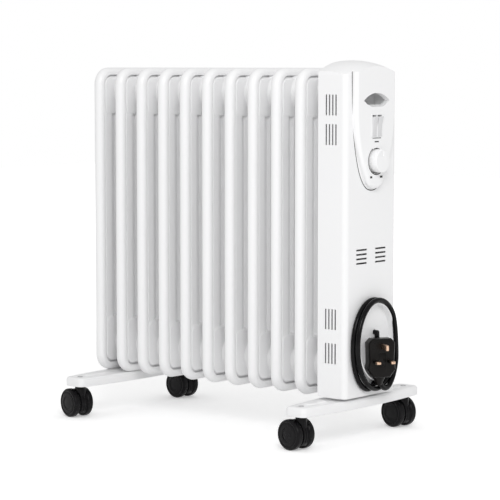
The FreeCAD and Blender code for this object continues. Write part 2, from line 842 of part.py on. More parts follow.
# ---------------------------------------------------------------- cord store, cord and plug
def ellipse_prism(x0, x1, half_width, half_height, y, z):
    place = vec(x0, y, z)
    ellipse = Part.Ellipse(vec(x0, y, z + half_height), vec(x0, y + half_width, z), place)
    return prism(Part.Wire([ellipse.toShape()]), vec(x1 - x0, 0, 0))


def cord_tray():
    """Oval tray on the end face; the flex is wound round its wall."""
    outer = ellipse_prism(end_x, end_x + tray_height, tray_half_width, tray_half_height,
                          tray_middle_y, tray_middle_z)
    inner = ellipse_prism(end_x + tray_floor, end_x + tray_height + 1, tray_half_width - tray_wall,
                          tray_half_height - tray_wall, tray_middle_y, tray_middle_z)
    notch = box(end_x + tray_floor, end_x + tray_height + 1, gland_y - cord_diameter / 2 - 1,
                gland_y + cord_diameter / 2 + 1, tray_middle_z - tray_half_height - 1,
                tray_middle_z - tray_half_height / 2)
    hole = cylinder_x(gland_radius + rest_gap, end_x - 1, end_x + 3, gland_y, gland_centre_z())
    return outer.cut(inner).cut(notch.fuse(hole))


def gland_centre_z():
    return gland_exit_z + gland_height


def cord_gland():
    """Right-angled strain relief: through the face, then straight down over the flex."""
    x = end_x + gland_stand
    z = gland_centre_z()
    through = cylinder_x(gland_radius, end_x - gland_collar_depth, x, gland_y, z)
    collar = cylinder_x(gland_radius + 2.0, end_x - gland_collar_depth,
                        end_x - sheet_thickness - 0.2, gland_y, z)
    knuckle = Part.makeSphere(gland_radius, vec(x, gland_y, z))
    sleeve = Part.makeCone(gland_sleeve_radius, gland_radius, gland_height, vec(x, gland_y, gland_exit_z))
    return fuse([through, collar, knuckle, sleeve])


def cord_lead():
    """First stretch of flex, from the strain relief down into the coil."""
    return cylinder_z(cord_diameter / 2, cord_low(), gland_exit_z, end_x + gland_stand, gland_y)


def cord_low():
    """Height at which the cord's two ends run into the coil."""
    return tray_middle_z - coil_inner_half_height - cord_diameter / 2


def cord_coil():
    """Outer shape of the flex, two turns wound round the tray and slack below it."""
    outer = ellipse_prism(end_x + rest_gap, end_x + coil_depth, coil_outer_half_width,
                          coil_outer_half_height, coil_middle_y, coil_middle_z)
    inner = ellipse_prism(end_x - 1, end_x + coil_depth + 1, coil_inner_half_width,
                          coil_inner_half_height, tray_middle_y, tray_middle_z)
    return outer.cut(inner)


def plug_frame(shape):
    """Move a plug piece from its own axes (X out of the pin face) to its place."""
    shape.rotate(vec(0, 0, 0), vec(0, 0, 1), plug_turn)
    shape.translate(vec(end_x + plug_back_x, plug_back_y, 0))
    return shape


def plug_outline(x, shrink):
    """The plug seen from its pins: straight top, slight waist, swelling above the cord's neck."""
    half = plug_width / 2 - shrink
    neck = plug_neck_half_width - shrink
    top = plug_bottom + plug_height - shrink
    bevel = plug_corner
    right = [(half - bevel, top), (half, top - bevel), (half - plug_waist, plug_bottom + plug_waist_rise),
             (half + plug_swell, plug_bottom + plug_swell_rise), (neck, plug_bottom + shrink)]
    points = [vec(x, y, z) for y, z in right] + [vec(x, -y, z) for y, z in reversed(right)]
    return Part.makePolygon(points + points[:1])


def pin_block(size, start, y, z):
    """Rectangular bar out of the pin face; size is the pin's (length, width, height)."""
    length, width, height = size
    return box(plug_thickness + start, plug_thickness + length, y - width / 2, y + width / 2,
               z - height / 2, z + height / 2)


def plug_body():
    """Moulded plug with the insulating sleeves on its two lower pins."""
    stations = ((0, 3.0), (3.0, 0.0), (plug_thickness - 2.0, 0.0), (plug_thickness, 1.2))
    body = loft([plug_outline(x, shrink) for x, shrink in stations])
    pocket = box(plug_thickness - fuse_recess, plug_thickness + 1, -fuse_half_width, fuse_half_width,
                 plug_bottom + fuse_low, plug_bottom + fuse_low + fuse_length)
    sleeve = (sleeve_length,) + live_pin[1:]
    sleeves = [pin_block(sleeve, -1, side * pin_half_spacing, pin_row_z()) for side in (-1, 1)]
    return plug_frame(body.cut(pocket).fuse(sleeves))


def pin_row_z():
    return plug_bottom + earth_pin_height - pin_row_drop


def loft(wires):
    return Part.makeLoft(wires, True, True)


def plug_fuse_cover():
    gap = 0.2
    cover = box(plug_thickness - fuse_recess, plug_thickness + gap, gap - fuse_half_width,
                fuse_half_width - gap, plug_bottom + fuse_low + gap,
                plug_bottom + fuse_low + fuse_length - gap)
    return plug_frame(cover)


def plug_pins():
    pins = []
    places = ((earth_pin, 0, 0.0, plug_bottom + earth_pin_height),
              (live_pin, sleeve_length, -pin_half_spacing, pin_row_z()),
              (live_pin, sleeve_length, pin_half_spacing, pin_row_z()))
    for size, start, y, z in places:
        pin = pin_block(size, start, y, z)
        tips = [edge for edge in pin.Edges
                if abs(edge.CenterOfMass.x - plug_thickness - size[0]) < 1e-3]
        pins.append(plug_frame(pin.makeChamfer(1.0, tips)))
    return Part.makeCompound(pins)


def cord_tail():
    """Last stretch of flex, from the coil up into the plug."""
    middle = plug_frame(Part.Vertex(vec(cord_entry, 0, 0))).Point
    return cylinder_z(cord_diameter / 2, cord_low(), plug_bottom, middle.x, middle.y)


# ---------------------------------------------------------------- feet
def foot_outline(x, inset, z):
    """Boat-shaped plan: bowed sides that run smoothly into the rounded corners of the ends."""
    middle = foot_width / 2 - inset
    half = foot_end_width / 2 - inset
    reach = foot_half_length - inset
    radius = foot_corner_radius - inset
    bulge = middle - half
    rise = reach - radius
    bow = (bulge ** 2 + 2 * bulge * radius + rise ** 2) / (2 * bulge)
    share = bow / (bow - radius)
    touch = (middle - bow + (half - radius - middle + bow) * share, rise * share)
    lean = math.atan2(rise, half - radius - middle + bow)
    turned = (lean + math.pi / 2) / 2
    bend = (half - radius + radius * math.cos(turned), rise + radius * math.sin(turned))

    def place(point, across, along):
        return vec(x + across * point[0], along * point[1], z)

    end = (half - radius, reach)
    edges = []
    for across in (1, -1):
        edges.append(Part.Arc(place(touch, across, -across), vec(x + across * middle, 0, z),
                              place(touch, across, across)).toShape())
        edges.append(Part.Arc(place(touch, across, across), place(bend, across, across),
                              place(end, across, across)).toShape())
        edges.append(Part.LineSegment(place(end, across, across), place(end, -across, across)).toShape())
        edges.append(Part.Arc(place(end, -across, across), place(bend, -across, across),
                              place(touch, -across, across)).toShape())
    return Part.Wire(edges)


def foot(x):
    """Pressed channel with closed, rounded ends and a stiffening rib at each end."""
    def block(inset, z0, z1, edge):
        return chamfered(prism(foot_outline(x, inset, z0), vec(0, 0, z1 - z0)), edge, "Z", (z1,))
    outer = block(0, bracket_bottom, bracket_top, foot_edge)
    inner = block(foot_sheet, bracket_bottom - 5, bracket_top - foot_sheet, foot_edge)
    ribs = []
    cuts = []
    for side in (-1, 1):
        middle = side * (fin_depth / 2 + foot_rib_gap + foot_rib_length / 2)
        half = foot_rib_width / 2
        outline = outline_xy(x - half, x + half, middle - foot_rib_length / 2,
                             middle + foot_rib_length / 2, half - 0.1, bracket_top - foot_sheet / 2)
        rib = prism(outline, vec(0, 0, foot_sheet / 2 + foot_rib_height))
        ribs.append(chamfered(rib, foot_rib_height, "Z", (bracket_top + foot_rib_height,)))
        cuts.append(cylinder_z(bolt_radius + bolt_clearance, bracket_bottom, bracket_top + 5, x,
                               side * bolt_leg_offset()))
        cuts.append(cylinder_z(stem_radius + running_gap, bracket_bottom, bracket_top + 5, x,
                               side * caster_reach))
    return outer.fuse(ribs).cut(inner).cut(Part.makeCompound(cuts)).removeSplitter()


def bolt_leg_offset():
    return hub_radius + bolt_radius + rest_gap


def u_bolt(x):
    """Rod bent over the lower header, with two threaded legs through the foot."""
    return u_rod(bolt_radius, bracket_top - bolt_tail, lower_hub_z, bolt_leg_offset(),
                 lambda u, v: vec(x, v, u))


def wing_nut(x, y):
    top = bracket_top - foot_sheet
    hub_part = Part.makeCone(nut_radius - 1, nut_radius, nut_height, vec(x, y, top - nut_height))
    wings = []
    for side in (-1, 1):
        places = ((wing_root, nut_height), (wing_root, 1.0), (wing_span / 2, wing_height),
                  (wing_span / 2 - wing_tip_length, wing_height + wing_tip_drop))
        points = [vec(x - wing_thickness / 2, y + side * out, top - down) for out, down in places]
        wings.append(prism(Part.makePolygon(points + points[:1]), vec(wing_thickness, 0, 0)))
    bore = cylinder_z(bolt_radius, top - nut_height - 5, top + 5, x, y)
    return fuse([hub_part] + wings).cut(bore)


# ---------------------------------------------------------------- casters
def caster_place(shape, foot_x, y, turn):
    """Turn a caster piece about its stem and set it under the foot."""
    shape.rotate(vec(0, 0, 0), vec(0, 0, 1), turn)
    shape.translate(vec(foot_x, y, 0))
    return shape


def caster_hood():
    """Hood between the wheels: round, open below, ribbed in front, with the stem's boss."""
    half = hood_width / 2
    centre_x = -caster_trail
    drum = cylinder_y(hood_radius, -half, half, centre_x, wheel_radius)
    drum = drum.common(box(-100, 100, -half, half, hood_clearance, 100))
    boss_top = bracket_bottom - rest_gap
    boss = Part.makeCone(hood_boss_radius + 1.5, hood_boss_radius, boss_top - hood_boss_root,
                         vec(0, 0, hood_boss_root))
    boss = boss.common(box(-50, 50, -half - 4, half + 4, 0, 100))
    ribs = []
    for y in (2 * rib_half - half, 0.0, half - 2 * rib_half):
        rib = cylinder_y(hood_radius + rib_proud, y - rib_half, y + rib_half, centre_x, wheel_radius)
        ribs.append(rib.common(box(0, 40, -half, half, hood_clearance + 4, wheel_radius + 12)))
    gap = wheel_radius + side_play
    wheels_room = []
    for side in (-1, 1):
        y0 = side * half
        y1 = side * (half + 40)
        wheels_room.append(cylinder_y(gap, min(y0, y1), max(y0, y1), centre_x, wheel_radius))
    shape = fuse([drum, boss] + ribs)
    bore = cylinder_y(axle_radius + running_gap, -half - 1, half + 1, centre_x, wheel_radius)
    stem_hole = cylinder_z(stem_radius, stem_bottom(), boss_top + 1, 0, 0)
    return shape.cut(Part.makeCompound(wheels_room)).cut(bore.fuse(stem_hole))


def stem_bottom():
    return 2 * wheel_radius - 9.0


def caster_stem():
    """Steel stem, pressed in the hood and turning in the socket."""
    return cylinder_z(stem_radius, stem_bottom(), bracket_top + 0.6, 0, 0)


def caster_wheels():
    """Two wheels with coned discs, pressed on the ends of one axle."""
    inner = hood_width / 2 + side_play
    outer = inner + wheel_width
    rim = wheel_radius - tread_bevel
    profile = [vec(0, inner, 0), vec(0, inner, rim), vec(0, inner + tread_bevel, wheel_radius),
               vec(0, outer - tread_bevel, wheel_radius), vec(0, outer, rim),
               vec(0, outer + wheel_dome, rim * wheel_flat_share), vec(0, outer + wheel_dome, 0)]
    face = Part.Face(Part.makePolygon(profile + profile[:1]))
    wheel = face.revolve(vec(0, 0, 0), vec(0, 1, 0), 360)
    wheel = wheel.cut(cylinder_y(axle_radius, 0, axle_half_length(), 0, 0))
    pair = [wheel, mirrored(wheel, (0, 1, 0))]
    for shape in pair:
        shape.translate(vec(-caster_trail, 0, wheel_radius))
    return Part.makeCompound(pair)


def axle_half_length():
    return hood_width / 2 + side_play + wheel_width - axle_cover


def caster_axle():
    reach = axle_half_length()
    return cylinder_y(axle_radius, -reach, reach, -caster_trail, wheel_radius)


def caster_socket(foot_x, y):
    """Bush in the foot in which the stem turns."""
    top = bracket_top - foot_sheet
    bush = cylinder_z(stem_radius + socket_wall, bracket_bottom + rest_gap, top, foot_x, y)
    return bush.cut(cylinder_z(stem_radius + running_gap, bracket_bottom, top + 1, foot_x, y))


# ---------------------------------------------------------------- build
def build_fins():
    for index in range(fin_count):
        shape = fin(fin_x + index * fin_pitch, index == 0, index == fin_count - 1)
        export(shape, "fin_%02d" % (index + 1))


def build_casters():
    sockets = []
    for name, turn in caster_turns:
        foot_x = left_foot_x if name.endswith("left") else right_foot_x
        y = -caster_reach if name.startswith("front") else caster_reach
        for label, maker in (("hood", caster_hood), ("stem", caster_stem), ("wheels", caster_wheels),
                             ("axle", caster_axle)):
            export(caster_place(maker(), foot_x, y, turn), "caster_%s_%s" % (name, label))
        sockets.append(caster_socket(foot_x, y))
    export(Part.makeCompound(sockets), "caster_sockets")


def main():
    os.makedirs("parts", exist_ok=True)
    build_fins()
    build_casters()
    single = {"element_port": element_port, "heating_element": heating_element,
              "element_flange": element_flange, "oil_filler_plug": oil_filler_plug,
              "hanger_studs": hanger_studs, "thermal_cutout": thermal_cutout,
              "box_cover": box_cover, "box_back_plate": back_plate, "box_base": box_base,
              "box_screws": box_screws,
              "terminal_block": terminal_block, "control_panel": control_panel,
              "thermostat_body": thermostat_body, "thermostat_spindle": thermostat_spindle,
              "thermostat_knob": thermostat_knob, "cord_tray": cord_tray,
              "cord_gland": cord_gland, "cord_lead": cord_lead, "cord_coil": cord_coil,
              "cord_tail": cord_tail, "plug_body": plug_body, "plug_pins": plug_pins,
              "plug_fuse_cover": plug_fuse_cover}
    for name, maker in single.items():
        export(maker(), name)
    for side, name in ((-1, "left"), (1, "right")):
        export(switch_body(side), "switch_body_" + name)
        export(rocker(side), "rocker_" + name)
    export(foot(left_foot_x), "foot_left")
    export(foot(right_foot_x), "foot_right")
    export(Part.makeCompound([u_bolt(left_foot_x), u_bolt(right_foot_x)]), "u_bolts")
    nuts = [wing_nut(x, side * bolt_leg_offset()) for x in (left_foot_x, right_foot_x) for side in (-1, 1)]
    export(Part.makeCompound(nuts), "wing_nuts")


main()
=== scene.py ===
import json
import math

import bmesh
import bpy
import numpy as np
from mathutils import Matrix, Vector
from mathutils.bvhtree import BVHTree


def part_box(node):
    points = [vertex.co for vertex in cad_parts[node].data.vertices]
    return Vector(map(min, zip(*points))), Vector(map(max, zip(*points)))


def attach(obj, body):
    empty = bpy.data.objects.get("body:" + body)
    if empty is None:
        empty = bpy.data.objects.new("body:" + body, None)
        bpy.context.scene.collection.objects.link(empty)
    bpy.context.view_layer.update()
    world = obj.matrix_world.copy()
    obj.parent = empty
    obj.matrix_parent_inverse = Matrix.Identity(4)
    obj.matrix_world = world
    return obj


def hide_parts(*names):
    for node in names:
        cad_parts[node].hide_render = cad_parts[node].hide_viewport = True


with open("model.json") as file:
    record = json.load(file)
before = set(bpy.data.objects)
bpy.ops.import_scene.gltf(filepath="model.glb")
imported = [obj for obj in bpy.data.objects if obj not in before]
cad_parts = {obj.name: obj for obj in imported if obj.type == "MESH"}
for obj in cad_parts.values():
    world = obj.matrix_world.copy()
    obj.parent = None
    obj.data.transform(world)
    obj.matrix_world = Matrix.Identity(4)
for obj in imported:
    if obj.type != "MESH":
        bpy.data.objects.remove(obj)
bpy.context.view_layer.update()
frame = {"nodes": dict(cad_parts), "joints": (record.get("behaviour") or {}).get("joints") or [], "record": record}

bl_info = {
    "name": "Oil Filled Radiator",
    "version": (1, 0, 0),
    "blender": (4, 5, 0),
    "location": "View3D > Sidebar > Radiator",
    "description": "Finishes an oil filled radiator heater round its construction model",
    "category": "Object",
}

ROOT = "heater"
CASTERS = ("front_left", "rear_left", "front_right", "rear_right")
FIN_NODES = sorted(name for name in frame["nodes"] if name.startswith("fin_"))
JOINTS = {joint["name"]: joint for joint in frame["joints"]}
MM = 0.001

# ------------------------------------------------------------------ settings
def length(name, default, description):
    """A distance in metres."""
    return bpy.props.FloatProperty(name=name, description=description, default=default,
                                   subtype="DISTANCE", unit="LENGTH")


def count(name, default, description):
    """A whole number."""
    return bpy.props.IntProperty(name=name, description=description, default=default)


def tint(name, default, description):
    """A linear red, green and blue colour."""
    return bpy.props.FloatVectorProperty(name=name, description=description, size=3,
                                         default=default, subtype="COLOR")


def bearing(name, degrees, description):
    """An angle, written here in degrees."""
    return bpy.props.FloatProperty(name=name, description=description,
                                   default=math.radians(degrees), subtype="ANGLE",
                                   unit="ROTATION")


class FinSettings(bpy.types.PropertyGroup):
    """Sizes of the pressed steel fins."""
    rim_width: length("Rim width", 0.0170, "Across the rolled edge")
    rim_depth: length("Rim depth", 0.0115, "From the edge in to the sheet")
    rim_round: length("Rim rounding", 0.0084, "Radius of the rolled edge's shoulders")
    corner_radius: length("Corner radius", 0.0265, "Outer radius of a fin's corners")
    web: length("Web", 0.0012, "Half the thickness where the sheets meet")
    chamber: length("Chamber", 0.0075, "Half the thickness round a header")
    margin: length("Margin", 0.0012, "From the rolled edge in to a chamber")
    channel: length("Channel", 0.0065, "Half the thickness of an oil channel")
    channels: count("Channels", 4, "Oil channels side by side in a fin")
    channel_width: length("Channel width", 0.0195, "Width of an oil channel")
    channel_pitch: length("Channel pitch", 0.0265, "From channel to channel")
    draft: length("Draft", 0.003, "Width of a pressed flank")


class FinishSettings(bpy.types.PropertyGroup):
    """Colours of the materials."""
    enamel: tint("Enamel", (0.90, 0.90, 0.905), "Baked white enamel")
    plastic: tint("White plastic", (0.91, 0.91, 0.915), "Control panel and knob")
    rocker: tint("Rocker plastic", (0.70, 0.70, 0.71), "Rocker switches")
    caster: tint("Caster plastic", (0.007, 0.0065, 0.0075), "Hoods and wheels")
    cord: tint("Cord", (0.005, 0.005, 0.0055), "Sheath of the flex")
    plug: tint("Plug", (0.006, 0.005, 0.0045), "Moulded plug")
    # dark also colours the painted shadow lines and the painted shade in the dial scale
    dark: tint("Dark plastic", (0.03, 0.03, 0.03), "Printed marks and inner mouldings")
    brass: tint("Brass", (0.72, 0.50, 0.36), "Plug pins")
    steel: tint("Steel", (0.58, 0.58, 0.59), "Zinc plated steel")


class CordSettings(bpy.types.PropertyGroup):
    """Sizes of the wound flex."""
    diameter: length("Diameter", 0.0075, "Outside of the sheath")
    turns: count("Turns", 2, "Turns round the tray")
    gather: length("Gather", 0.0015, "How far the lowest strands are drawn up together")
    points_per_turn: count("Points per turn", 16, "Control points in one turn")


class StageSettings(bpy.types.PropertyGroup):
    """Where the camera stands and how bright the room is."""
    azimuth: bearing("Azimuth", 39.78, "Round the heater, from its front")
    elevation: bearing("Elevation", 5.12, "Above the horizon")
    distance: length("Distance", 3.3, "From the point aimed at")
    aim: bpy.props.FloatVectorProperty(name="Aim", description="The point aimed at", size=3,
                                       default=(-0.06495, 0.0921, 0.2574), subtype="XYZ")
    lens: bpy.props.FloatProperty(name="Lens", description="Focal length in millimetres",
                                  default=149.6)
    room: bpy.props.FloatProperty(name="Room light", description="Strength of the even light",
                                  default=0.68)
    key: bpy.props.FloatProperty(name="Key light", description="Power of the softbox, in watts",
                                 default=40.0)


SETTINGS = (("radiator_fins", FinSettings), ("radiator_finish", FinishSettings),
            ("radiator_cord", CordSettings), ("radiator_stage", StageSettings))


# ------------------------------------------------------------------ small tools
MERGE_DISTANCE = 2e-6      # vertices of a construction piece that are one point
WELD_DISTANCE = 1e-7       # vertices of a finished piece that are one point
FLAT_ANGLE = 0.4           # degrees between faces that lie in one plane
CORNER_SHARE = 0.45        # of a side that a rounded corner may take up
def millimetres(*values):
    """A point given in millimetres."""
    return Vector([value * MM for value in values])


def new_object(name, data):
    """An object in the scene that holds this mesh or curve."""
    obj = bpy.data.objects.new(name, data)
    bpy.context.scene.collection.objects.link(obj)
    return obj


def mesh_from(name, vertices, faces):
    """A mesh of these vertices and faces."""
    mesh = bpy.data.meshes.new(name)
    mesh.from_pydata([tuple(v) for v in vertices], [], faces)
    mesh.update()
    return mesh


def settle(obj):
    """Turn an object's modifiers into plain mesh."""
    graph = bpy.context.evaluated_depsgraph_get()
    mesh = bpy.data.meshes.new_from_object(obj.evaluated_get(graph))
    obj.modifiers.clear()
    if obj.type == "MESH":
        obj.data = mesh
        return obj
    name = obj.name
    bpy.data.objects.remove(obj)
    return new_object(name, mesh)


def smooth(mesh, angle):
    """Smooth shading, except over edges sharper than this many degrees."""
    mesh.polygons.foreach_set("use_smooth", [True] * len(mesh.polygons))
    mesh.set_sharp_from_angle(angle=math.radians(angle))


def dress(obj, body, slot, nodes=(), angle=35.0):
    """Give a piece its material, its body and the construction pieces that it stands for."""
    obj.data.materials.clear()
    obj.data.materials.append(MATERIALS[slot])
    smooth(obj.data, angle)
    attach(obj, body)
    if nodes:
        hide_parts(*nodes)
    return obj


def node_copy(node, name):
    """A merged copy of a construction piece's mesh, with its flat faces whole."""
    shape = bmesh.new()
    shape.from_mesh(frame["nodes"][node].data)
    bmesh.ops.remove_doubles(shape, verts=shape.verts, dist=MERGE_DISTANCE)
    bmesh.ops.dissolve_limit(shape, angle_limit=math.radians(FLAT_ANGLE), verts=shape.verts,
                             edges=shape.edges)
    mesh = bpy.data.meshes.new(name)
    shape.to_mesh(mesh)
    shape.free()
    return new_object(name, mesh)


def eased_copy(node, name, width, segments=2, angle=38.0):
    """A construction piece, its edges sharper than the angle rounded over the width."""
    obj = node_copy(node, name)
    bevel = obj.modifiers.new("Eased edges", "BEVEL")
    bevel.width = width
    bevel.segments = segments
    bevel.limit_method = "ANGLE"
    bevel.angle_limit = math.radians(angle)
    bevel.miter_outer = "MITER_ARC"
    bevel.use_clamp_overlap = True
    return settle(obj)


def turned(profile, segments):
    """Vertices and faces of a closed (along, radius) outline turned about the X axis."""
    size = len(profile)
    vertices = []
    for step in range(segments):
        turn = 2 * math.pi * step / segments
        for along, radius in profile:
            vertices.append((along, radius * math.cos(turn), radius * math.sin(turn)))
    faces = []
    for step in range(segments):
        following = (step + 1) % segments
        for index in range(size):
            after = (index + 1) % size
            faces.append((step * size + index, step * size + after,
                          following * size + after, following * size + index))
    return vertices, faces


def tidy_normals(mesh):
    """Weld a mesh and turn its faces outward."""
    shape = bmesh.new()
    shape.from_mesh(mesh)
    bmesh.ops.remove_doubles(shape, verts=shape.verts, dist=WELD_DISTANCE)
    bmesh.ops.recalc_face_normals(shape, faces=shape.faces)
    shape.to_mesh(mesh)
    shape.free()


def add_part(vertices, faces, part):
    """Add a part, as (vertices, faces), to growing lists of both."""
    base = len(vertices)
    vertices += part[0]
    faces += [tuple(i + base for i in face) for face in part[1]]


def rounded(points, radius, steps):
    """A polygon of (a, b) points with its corners rounded."""
    result = []
    for index, point in enumerate(points):
        here = Vector(point)
        before = Vector(points[index - 1]) - here
        after = Vector(points[(index + 1) % len(points)]) - here
        reach = min(radius, before.length * CORNER_SHARE, after.length * CORNER_SHARE)
        start = here + before.normalized() * reach
        end = here + after.normalized() * reach
        for step in range(steps + 1):
            share = step / steps
            result.append(start.lerp(here, share).lerp(here.lerp(end, share), share))
    return [(p.x, p.y) for p in result]


# ------------------------------------------------------------------ node building blocks
RELIEF_HEIGHT = 0.0002
COAT_ROUGHNESS = 0.12
MIX_FIRST, MIX_SECOND, MIX_RESULT = 6, 7, 2      # a Mix node's colour sockets


def link(tree, source, target):
    """Join an output socket to an input socket."""
    tree.links.new(source, target)


def add_node(tree, kind, values=(), **properties):
    """A new node with these properties and (input, value) pairs."""
    node = tree.nodes.new(kind)
    for name, value in properties.items():
        setattr(node, name, value)
    for name, value in values:
        node.inputs[name].default_value = value
    return node


def add_sockets(tree, inputs, outputs):
    """A group's inputs, as (name, kind, value), and its outputs, as (name, kind)."""
    for name, kind, value in inputs:
        socket = tree.interface.new_socket(name=name, in_out="INPUT",
                                           socket_type="NodeSocket" + kind)
        if value is not None:
            socket.default_value = value
    for name, kind in outputs:
        tree.interface.new_socket(name=name, in_out="OUTPUT", socket_type="NodeSocket" + kind)


def make_grain_group():
    """Fine surface unevenness with a slower drift of tone, for paint and moulded plastic."""
    tree = bpy.data.node_groups.new("Fine grain", "ShaderNodeTree")
    add_sockets(tree, [("Colour", "Color", (1, 1, 1, 1)), ("Shade", "Color", (0.9, 0.9, 0.9, 1)),
                       ("Grain scale", "Float", 700.0), ("Drift scale", "Float", 6.0),
                       ("Roughness low", "Float", 0.3), ("Roughness high", "Float", 0.4)],
                [("Colour", "Color"), ("Roughness", "Float"), ("Height", "Float")])
    enter, leave = add_node(tree, "NodeGroupInput"), add_node(tree, "NodeGroupOutput")
    place = add_node(tree, "ShaderNodeTexCoord")
    grain = add_node(tree, "ShaderNodeTexNoise", [("Detail", 2.0)])
    drift = add_node(tree, "ShaderNodeTexNoise", [("Detail", 3.0)])
    for noise, name in ((grain, "Grain scale"), (drift, "Drift scale")):
        link(tree, place.outputs["Object"], noise.inputs["Vector"])
        link(tree, enter.outputs[name], noise.inputs["Scale"])
    tone = add_node(tree, "ShaderNodeMix", data_type="RGBA")
    link(tree, drift.outputs["Fac"], tone.inputs["Factor"])
    link(tree, enter.outputs["Colour"], tone.inputs[MIX_FIRST])
    link(tree, enter.outputs["Shade"], tone.inputs[MIX_SECOND])
    rough = add_node(tree, "ShaderNodeMapRange", [("From Min", 0.3), ("From Max", 0.7)])
    link(tree, drift.outputs["Fac"], rough.inputs["Value"])
    link(tree, enter.outputs["Roughness low"], rough.inputs["To Min"])
    link(tree, enter.outputs["Roughness high"], rough.inputs["To Max"])
    link(tree, tone.outputs[MIX_RESULT], leave.inputs["Colour"])
    link(tree, rough.outputs["Result"], leave.inputs["Roughness"])
    link(tree, grain.outputs["Fac"], leave.inputs["Height"])
    return tree


def make_brush_group():
    """Streaks drawn out along one direction, for plated and rolled metal."""
    tree = bpy.data.node_groups.new("Brushed streaks", "ShaderNodeTree")
    add_sockets(tree, [("Stretch", "Vector", (1, 1, 1)), ("Scale", "Float", 300.0)],
                [("Roughness", "Float"), ("Height", "Float")])
    enter, leave = add_node(tree, "NodeGroupInput"), add_node(tree, "NodeGroupOutput")
    place = add_node(tree, "ShaderNodeTexCoord")
    stretch = add_node(tree, "ShaderNodeVectorMath", operation="MULTIPLY")
    streaks = add_node(tree, "ShaderNodeTexNoise", [("Detail", 4.0)])
    rough = add_node(tree, "ShaderNodeMapRange", [("To Min", 0.22), ("To Max", 0.42)])
    link(tree, place.outputs["Object"], stretch.inputs[0])
    link(tree, enter.outputs["Stretch"], stretch.inputs[1])
    link(tree, stretch.outputs["Vector"], streaks.inputs["Vector"])
    link(tree, enter.outputs["Scale"], streaks.inputs["Scale"])
    link(tree, streaks.outputs["Fac"], rough.inputs["Value"])
    link(tree, rough.outputs["Result"], leave.inputs["Roughness"])
    link(tree, streaks.outputs["Fac"], leave.inputs["Height"])
    return tree


def grouped_material(name, group, own, shared, relief_strength):
    """A material with its own shader values and the values it gives to a shared group."""
    material = bpy.data.materials.new(name)
    material.use_nodes = True
    tree = material.node_tree
    shader = tree.nodes["Principled BSDF"]
    for socket, value in own:
        shader.inputs[socket].default_value = value
    effect = add_node(tree, "ShaderNodeGroup", shared, node_tree=group)
    relief = add_node(tree, "ShaderNodeBump",
                      [("Strength", relief_strength), ("Distance", RELIEF_HEIGHT)])
    if "Colour" in effect.outputs:
        link(tree, effect.outputs["Colour"], shader.inputs["Base Color"])
    link(tree, effect.outputs["Roughness"], shader.inputs["Roughness"])
    link(tree, effect.outputs["Height"], relief.inputs["Height"])
    link(tree, relief.outputs["Normal"], shader.inputs["Normal"])
    return material


def coated_material(name, group, colour, shade, grain, drift, roughness, relief, specular, coat):
    """Paint, plastic or rubber: tone, roughness and a little relief from the grain group."""
    return grouped_material(
        name, group,
        [("Specular IOR Level", specular), ("Coat Weight", coat),
         ("Coat Roughness", COAT_ROUGHNESS)],
        [("Colour", (*colour, 1)), ("Shade", (*[c * shade for c in colour], 1)),
         ("Grain scale", grain), ("Drift scale", drift),
         ("Roughness low", roughness[0]), ("Roughness high", roughness[1])], relief)


def metal_material(name, group, colour, stretch, scale, relief):
    """Bare metal: roughness and relief from the brushed group."""
    return grouped_material(name, group, [("Base Color", (*colour, 1)), ("Metallic", 1.0)],
                            [("Stretch", stretch), ("Scale", scale)], relief)


# slot: name, tone, darker share, grain, drift, roughness range, relief, specular, coat
COATED = {
    "white_enamel": ("Baked enamel", "enamel", 0.985, 900, 5, (0.34, 0.42), 0.05, 0.5, 0.15),
    "white_plastic": ("White plastic", "plastic", 0.985, 1600, 8, (0.36, 0.44), 0.04, 0.5, 0.0),
    "rocker_plastic": ("Rocker plastic", "rocker", 0.95, 1500, 40, (0.22, 0.28), 0.03, 0.5, 0.0),
    "caster_plastic": ("Caster plastic", "caster", 0.7, 1400, 60, (0.24, 0.34), 0.08, 0.13, 0.0),
    "cord_rubber": ("Flex sheath", "cord", 0.7, 1100, 90, (0.16, 0.24), 0.05, 0.13, 0.0),
    "plug_plastic": ("Plug moulding", "plug", 0.7, 1300, 70, (0.26, 0.36), 0.06, 0.15, 0.0),
    # black_plastic also carries the painted shadow lines and the dial scale's painted shade
    "black_plastic": ("Black plastic", "dark", 0.7, 1300, 70, (0.4, 0.5), 0.06, 0.5, 0.0),
}

# slot: name, tone, stretch of the streaks, scale, relief
METALS = {
    "brass": ("Pin brass", "brass", (0.3, 3, 3), 400, 0.08),
    "steel": ("Zinc plated steel", "steel", (1, 1, 0.2), 260, 0.06),
}

MATERIALS = {}


class RADIATOR_OT_materials(bpy.types.Operator):
    """Make the paint, plastic, rubber and metal finishes"""
    bl_idname = "radiator.materials"
    bl_label = "Materials"

    def execute(self, context):
        tones = context.scene.radiator_finish
        for make, group, table in ((coated_material, make_grain_group(), COATED),
                                   (metal_material, make_brush_group(), METALS)):
            for slot, (name, tone, *values) in table.items():
                MATERIALS[slot] = make(name, group, getattr(tones, tone), *values)
        return {"FINISHED"}


# ------------------------------------------------------------------ fins
LOWER_CHAMBER, UPPER_CHAMBER = 0.077, 0.063      # heights of the chambers round the headers
CHAMBER_CORNER = 0.014
SHEET_COLUMNS = 133
FINE_ROW, COARSE_ROW = 0.0015, 0.014             # row heights in the chambers and between them
FINE_MARGIN = 0.008                              # fine rows reach this far past a chamber
RIM_OVERLAP = 0.0008                             # of the sheets into the rolled edge
INNER_ROUND = 0.0012                             # rounding of the rolled edge's inner side
CORNER_STEPS, SHOULDER_STEPS = 14, 8
COLLAR_SEGMENTS = 40
def step_down(distance, width):
    """1 well inside an outline, falling smoothly to 0 at its edge."""
    share = np.clip(-distance / width, 0, 1)
    return share * share * (3 - 2 * share)


